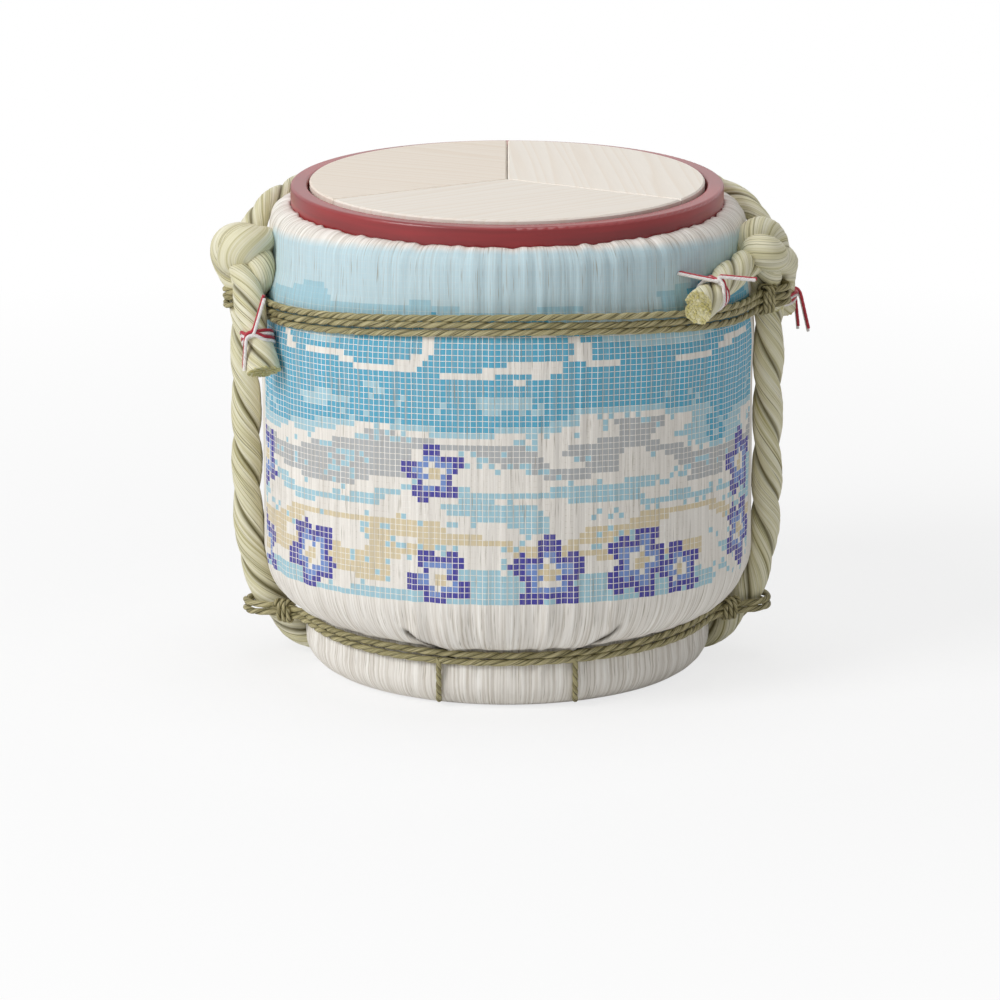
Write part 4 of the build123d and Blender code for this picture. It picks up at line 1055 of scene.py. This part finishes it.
def waist_turns(height, turns, reach, bump, bump_radius, droop, wobble):
    """Points of one rope wound from the back, leftwards and up."""
    leave, climb = waist_sweep(reach, bump, bump_radius)
    middle = (reach + SWEEP_IN) * np.array([cos(leave), sin(leave)])
    quarter = [(bump + bump_radius * cos(turn), bump_radius * sin(turn)) for turn in np.linspace(0, climb, 6)]
    bend = between(climb, leave, 4)
    quarter += [tuple(middle - SWEEP_IN * np.array([cos(turn), sin(turn)])) for turn in bend]
    quarter += [(reach * cos(turn), reach * sin(turn)) for turn in between(leave, pi / 2, 9)]
    back_left = [(-x, y) for x, y in reversed(quarter)]
    front_left = [(-x, -y) for x, y in quarter]
    front_right = [(x, -y) for x, y in reversed(quarter)]
    loop = back_left + front_left[1:] + front_right[1:] + quarter[1:-1]
    points = []
    for number in range(turns):
        for step, (x, y) in enumerate(loop):
            share = number + step / len(loop)
            lift = wobble * sin(TURN_WAVES * share * 2 * pi + WAVE_SHIFT * number) / 2
            sag = droop * x * x / (x * x + y * y)
            points.append((x, y, height + TURN_PITCH * (share - turns / 2) - sag + lift))
    points.append((quarter[-1][0] - LAST_END, quarter[-1][1], height + TURN_PITCH * turns / 2))
    return points


# The first colour of the straw is the painted shade in its creases
thin_straw = twisted_straw("old_straw_twine", "#28240F", "#645D3A", "#9A9166", "#C8BE94", "#8F8657", 20)
THIN = {
    "Strands": 2.0, "Lay": 16 * MM, "Crease": 0.42, "Ridge": 0.14, "Uneven": 0.1, "Step": 0.8 * MM,
    "Sides": 18, "Radius": WAIST_ROPE_FULL * MM, "Bristle": 8.0e5, "Straw": thin_straw,
}
CLEAR = WAIST_ROPE_RADIUS + ROPE_GAP
LOWER_SIDE_REACH = 109.0
LOWER_SLACK = 0.8
UPPER_SWEEP = (BELLY_RADIUS + CLEAR, SIDE_ROPE_REACH, SIDE_ROPE_RADIUS + CLEAR)
LOWER_SWEEP = (WAIST_RADIUS + CLEAR, LOWER_SIDE_REACH, SIDE_ROPE_RADIUS + CLEAR + LOWER_SLACK)
upper_points = waist_turns(UPPER_HEIGHT, 3, *UPPER_SWEEP, droop=UPPER_DROOP, wobble=0.5)
lower_points = waist_turns(LOWER_HEIGHT, 2, *LOWER_SWEEP, droop=0.0, wobble=0.4)
upper_rope = lay_rope("upper_waist_rope_laid", [upper_points], Seed=5, **THIN)
lower_rope = lay_rope("lower_waist_rope_laid", [lower_points], Seed=6, **THIN)
seat(upper_rope, "thin_rope", "upper_waist_rope")
seat(lower_rope, "thin_rope", "lower_waist_rope")


# Frapping: thinner twine wound across the turns of each waist rope, close to the side ropes.
# It draws the turns tight, in one coil in front of each side rope and one behind it.

FRAP_RADIUS = 1.05
FRAP_PITCH = 2.6
FRAP_PLACE = 0.64          # of the way from the mat to the side rope
FRAP_LOOSE = 1.05          # a coil's control points stand outside it
FRAP_COILS = 3
FRAP_STEPS = 12


def frapping_points(height, turns, reach, bump, bump_radius, side, front):
    """One coil at the left (-1) or right (1), in front of (-1) or behind (1) the side rope."""
    leave, climb = waist_sweep(reach, bump, bump_radius)
    slant = leave + (climb - leave) * FRAP_PLACE
    middle_x = (reach + SWEEP_IN) * cos(leave) - SWEEP_IN * cos(slant)
    middle_y = (reach + SWEEP_IN) * sin(leave) - SWEEP_IN * sin(slant)
    outward = Vector((side * cos(slant), front * sin(slant), 0))
    onward = Vector((-side * sin(slant), front * cos(slant), 0))
    share = 0.5 + side / 4 + side * front * leave / (2 * pi)
    middle = Vector((side * middle_x, front * middle_y, height + TURN_PITCH * (share - 0.5)))
    width = (WAIST_ROPE_RADIUS + FRAP_RADIUS + ROPE_GAP) * FRAP_LOOSE
    straight = TURN_PITCH * (turns - 1) / 2
    points = []
    for step in range(FRAP_COILS * FRAP_STEPS + 1):
        turn = 2 * pi * (step + 0.5) / FRAP_STEPS
        rise = width * sin(turn) + (straight if sin(turn) > 0 else -straight)
        along = FRAP_PITCH * (step / FRAP_STEPS - FRAP_COILS / 2)
        points.append(tuple(middle + outward * width * cos(turn) + Vector((0, 0, rise)) + onward * along))
    return points


TWINE = dict(THIN, Lay=8 * MM, Crease=0.3, Step=0.6 * MM, Sides=14, Radius=FRAP_RADIUS * MM)
for level, height, turns, sweep in (
    ("upper", UPPER_HEIGHT - UPPER_DROOP, 3, UPPER_SWEEP), ("lower", LOWER_HEIGHT, 2, LOWER_SWEEP),
):
    for side, hand in ((-1, "left"), (1, "right")):
        coils = [frapping_points(height, turns, *sweep, side, front) for front in (-1, 1)]
        frapping = lay_rope(f"{level}_frapping_{hand}_wound", coils, Seed=7, **TWINE)
        seat(frapping, "thin_rope", f"{level}_frapping_{hand}")


# Lacing: thin straw cords from the lower rope down the skirt and under the base to the side rope.
# One at each side of the middle, front and back; they hold the mat's fold flat.

LACING_RADIUS = 1.3
LACING_OFFSET = 30.0
LACING_GAP = 0.6
LACING_UNDER = 1.6         # height of its middle under the base

skirt = sqrt(WAIST_RADIUS ** 2 - LACING_OFFSET ** 2) + LACING_RADIUS + LACING_GAP
lacing_path = [
    (skirt + 0.2, 24.0), (skirt + 0.4, 14.0), (skirt - 1.6, 6.0), (skirt - 7.0, LACING_UNDER),
    (45.0, LACING_UNDER), (19.0, LACING_UNDER), (8.8, 7.0),
]
lacing_runs = [
    [(side * LACING_OFFSET, front * y, z) for y, z in lacing_path] for side in (-1, 1) for front in (-1, 1)
]
lacing = lay_rope("base_lacing_laid", lacing_runs, Seed=8, **dict(TWINE, Radius=LACING_RADIUS * MM))
seat(lacing, "thin_rope", "base_lacing")


# Ties: a red and a white paper cord round each tail, half-knotted, with the ends left free.
# Twisted paper string: even colour, fine slanting threads, a faint sheen.

TIE_RADIUS = 0.75
TIE_STEP = 1.6
TIE_TURNS = 2
TIE_LOOSE = 1.09           # a turn's control points stand outside it
TIE_CROSS = 1.5            # from the crossing to where an end leaves it
TIE_LIFTS = (0.9, 1.2, 2.2)    # of the first end, the last turn and the last end over the tail
TIE_BEND = 0.3             # share of a free end that bends
TIE_FIRST = 0.4            # in radii of the tail, where the first turn starts and the last one ends
TIE_LAST = 0.35
TAIL_RADIUS = 6.0
PAPER_THREAD = (0.5, 0.5, 2.0 * MM)    # in radii across, and along the cord


def paper_cord(name, code, groove):
    return fibrous(
        name, [(0.3, groove), (0.55, code)], PAPER_THREAD, {"Roughness": 0.5, "Sheen Weight": 0.25},
        detail=2.0, strength=0.4, depth=0.2 * MM, attribute="rope_place",
    )


def tie_points(tail, side, back, shift, face, ends):
    """Cord wound round a tail and crossed on the side it faces; ends say where its free ends go."""
    points = [Vector(point[:3]) for point in at_side(tail, side)]
    axis = (points[-1] - points[-2]).normalized()
    middle = points[-1] - axis * (back - shift)
    facing = Vector(face)
    facing = (facing - axis * facing.dot(axis)).normalized()
    across = axis.cross(facing)
    ring = TAIL_RADIUS + TIE_RADIUS
    first_lift, turn_lift, last_lift = TIE_LIFTS
    first_end, last_end = [Vector(end) for end in ends]
    first = middle + facing * (ring + first_lift) - across * TIE_CROSS
    last = middle + facing * (ring + last_lift) + across * TIE_CROSS
    path = [first + first_end, first + first_end * TIE_BEND, first]
    path += [middle + facing * ring + across * TIE_FIRST * ring]
    for step in range(1, 8 * TIE_TURNS):
        turn = pi / 4 * step
        slip = axis * 2 * TIE_STEP * (step / 8 - TIE_TURNS / 2)
        path.append(middle + (facing * cos(turn) + across * sin(turn)) * ring * TIE_LOOSE + slip)
    path += [middle + facing * (ring + turn_lift) - across * TIE_LAST * ring, last]
    path += [last + last_end * TIE_BEND, last + last_end]
    return [tuple(point) for point in path]


red_cord = paper_cord("red_paper_cord", "#B81F33", "#8E1226")
white_cord = paper_cord("white_paper_cord", "#F2EDEA", "#CFC7C4")
CORD = {
    "Strands": 2.0, "Lay": 5 * MM, "Crease": 0.14, "Ridge": 0.0, "Uneven": 0.04, "Step": 0.45 * MM,
    "Sides": 12, "Radius": TIE_RADIUS * MM, "Bristle": 0.0, "Seed": 9,
}
ties = [
    ("left_front", LEFT_TAIL, -1, 16.5, (-0.3, -0.9, 0.1), ((5, -2, 17), (-1, -2, -15))),
    ("left_rear", LEFT_REAR, -1, 8.0, (-0.8, 0.5, 0.2), ((5, 8, -13), (7, 10, -11))),
    ("right_front", RIGHT_TAIL, 1, 17.0, (0.1, -0.7, 0.7), ((-19, 0, 4), (17, 2, -2))),
    ("right_rear", RIGHT_WRAP, 1, 8.0, (0.8, 0.3, 0.2), ((2, 2, -18), (4, -2, -17))),
]
for name, tail, side, back, face, ends in ties:
    for cord, material, shift in (("red", red_cord, 0.0), ("white", white_cord, TIE_STEP)):
        points = tie_points(tail, side, back, shift, face, ends)
        tie = lay_rope(f"{name}_tie_{cord}_knotted", [points], Straw=material, **CORD)
        seat(tie, f"{cord}_cord", f"{name}_tie_{cord}")


# Studio: a white floor that runs back into a white surround.
# A large soft light from the left, a weaker one from the right and one from above.

PAPER_WHITE = "#FBFBFB"
WHITE = (1.0, 1.0, 1.0, 1.0)
FLOOR_CORNERS = [(-8, -4, 0), (8, -4, 0), (8, 16, 0), (-8, 16, 0)]
AMBIENT = 0.27
LIGHT_AIM = (0, 0, 0.11)


def stage_material(name):
    """White paper: full white to the camera where nothing shades it, with the shadow at part of its depth."""
    material, tree, shader = new_material(name)
    paper = colour(PAPER_WHITE)
    set_inputs(tree, shader, {"Base Color": paper, "Roughness": 0.9, "Specular IOR Level": 0.0})
    glow = add_node(tree, "ShaderNodeEmission", {"Color": WHITE, "Strength": 1.0})
    rays = add_node(tree, "ShaderNodeLightPath").outputs
    place = add_node(tree, "ShaderNodeTexCoord").outputs["Object"]
    away = add_node(tree, "ShaderNodeVectorMath", [place], operation="LENGTH").outputs["Value"]
    share = add_node(
        tree, "ShaderNodeMapRange",
        {"Value": away, "From Min": 0.25, "From Max": 0.8, "To Min": 0.74, "To Max": 1.0},
    )
    seen = add_node(tree, "ShaderNodeMath", [rays["Is Camera Ray"], share], operation="MULTIPLY")
    mixed = add_node(tree, "ShaderNodeMixShader", [seen, shader, glow])
    set_inputs(tree, tree.nodes["Material Output"], {"Surface": mixed})
    return material


floor_mesh = bpy.data.meshes.new("floor")
floor_mesh.from_pydata(FLOOR_CORNERS, [], [(0, 1, 2, 3)])
floor_mesh.materials.append(stage_material("white_paper_floor"))
floor = new_object("floor", floor_mesh)

world = bpy.data.worlds.new("studio")
bpy.context.scene.world = world
world.use_nodes = True
tree = world.node_tree
rays = add_node(tree, "ShaderNodeLightPath").outputs
seen = rays["Is Camera Ray"]
for ray in (rays["Is Glossy Ray"], rays["Is Transmission Ray"]):
    seen = add_node(tree, "ShaderNodeMath", [seen, ray], operation="MAXIMUM")
strength = add_node(tree, "ShaderNodeMapRange", {"Value": seen, "To Min": AMBIENT, "To Max": 1.0})
set_inputs(tree, tree.nodes["Background"], {"Color": WHITE, "Strength": strength})


def soft_light(name, place, size, power):
    lamp = bpy.data.lights.new(name, "AREA")
    lamp.shape = "DISK"
    lamp.size = size
    lamp.energy = power
    holder = new_object(name, lamp)
    holder.location = place
    holder.rotation_euler = (Vector(LIGHT_AIM) - Vector(place)).to_track_quat("-Z", "Y").to_euler()


soft_light("key", (-1.85, -1.25, 1.5), size=1.3, power=39.0)
soft_light("fill", (1.9, -1.7, 1.0), size=1.6, power=3.4)
soft_light("top", (0.1, 0.3, 2.3), size=1.4, power=14.0)

# Camera: a long lens about two and a half metres off, half a metre above the lid
IMAGE_PIXELS = 1000
FOCAL_PIXELS = 5654.0
SENSOR = 36.0
EYE = (0.0, -2.470, 0.729)
LOOK_DOWN = 14.895
LOOK_LEFT = 0.074
camera = bpy.data.cameras.new("camera")
camera.sensor_width = SENSOR
camera.lens = FOCAL_PIXELS / IMAGE_PIXELS * SENSOR
camera.clip_end = 60.0
viewer = new_object("camera", camera)
viewer.location = EYE
viewer.rotation_euler = (radians(90 - LOOK_DOWN), 0.0, radians(LOOK_LEFT))
bpy.context.scene.camera = viewer
bpy.context.scene.view_settings.view_transform = "Standard"
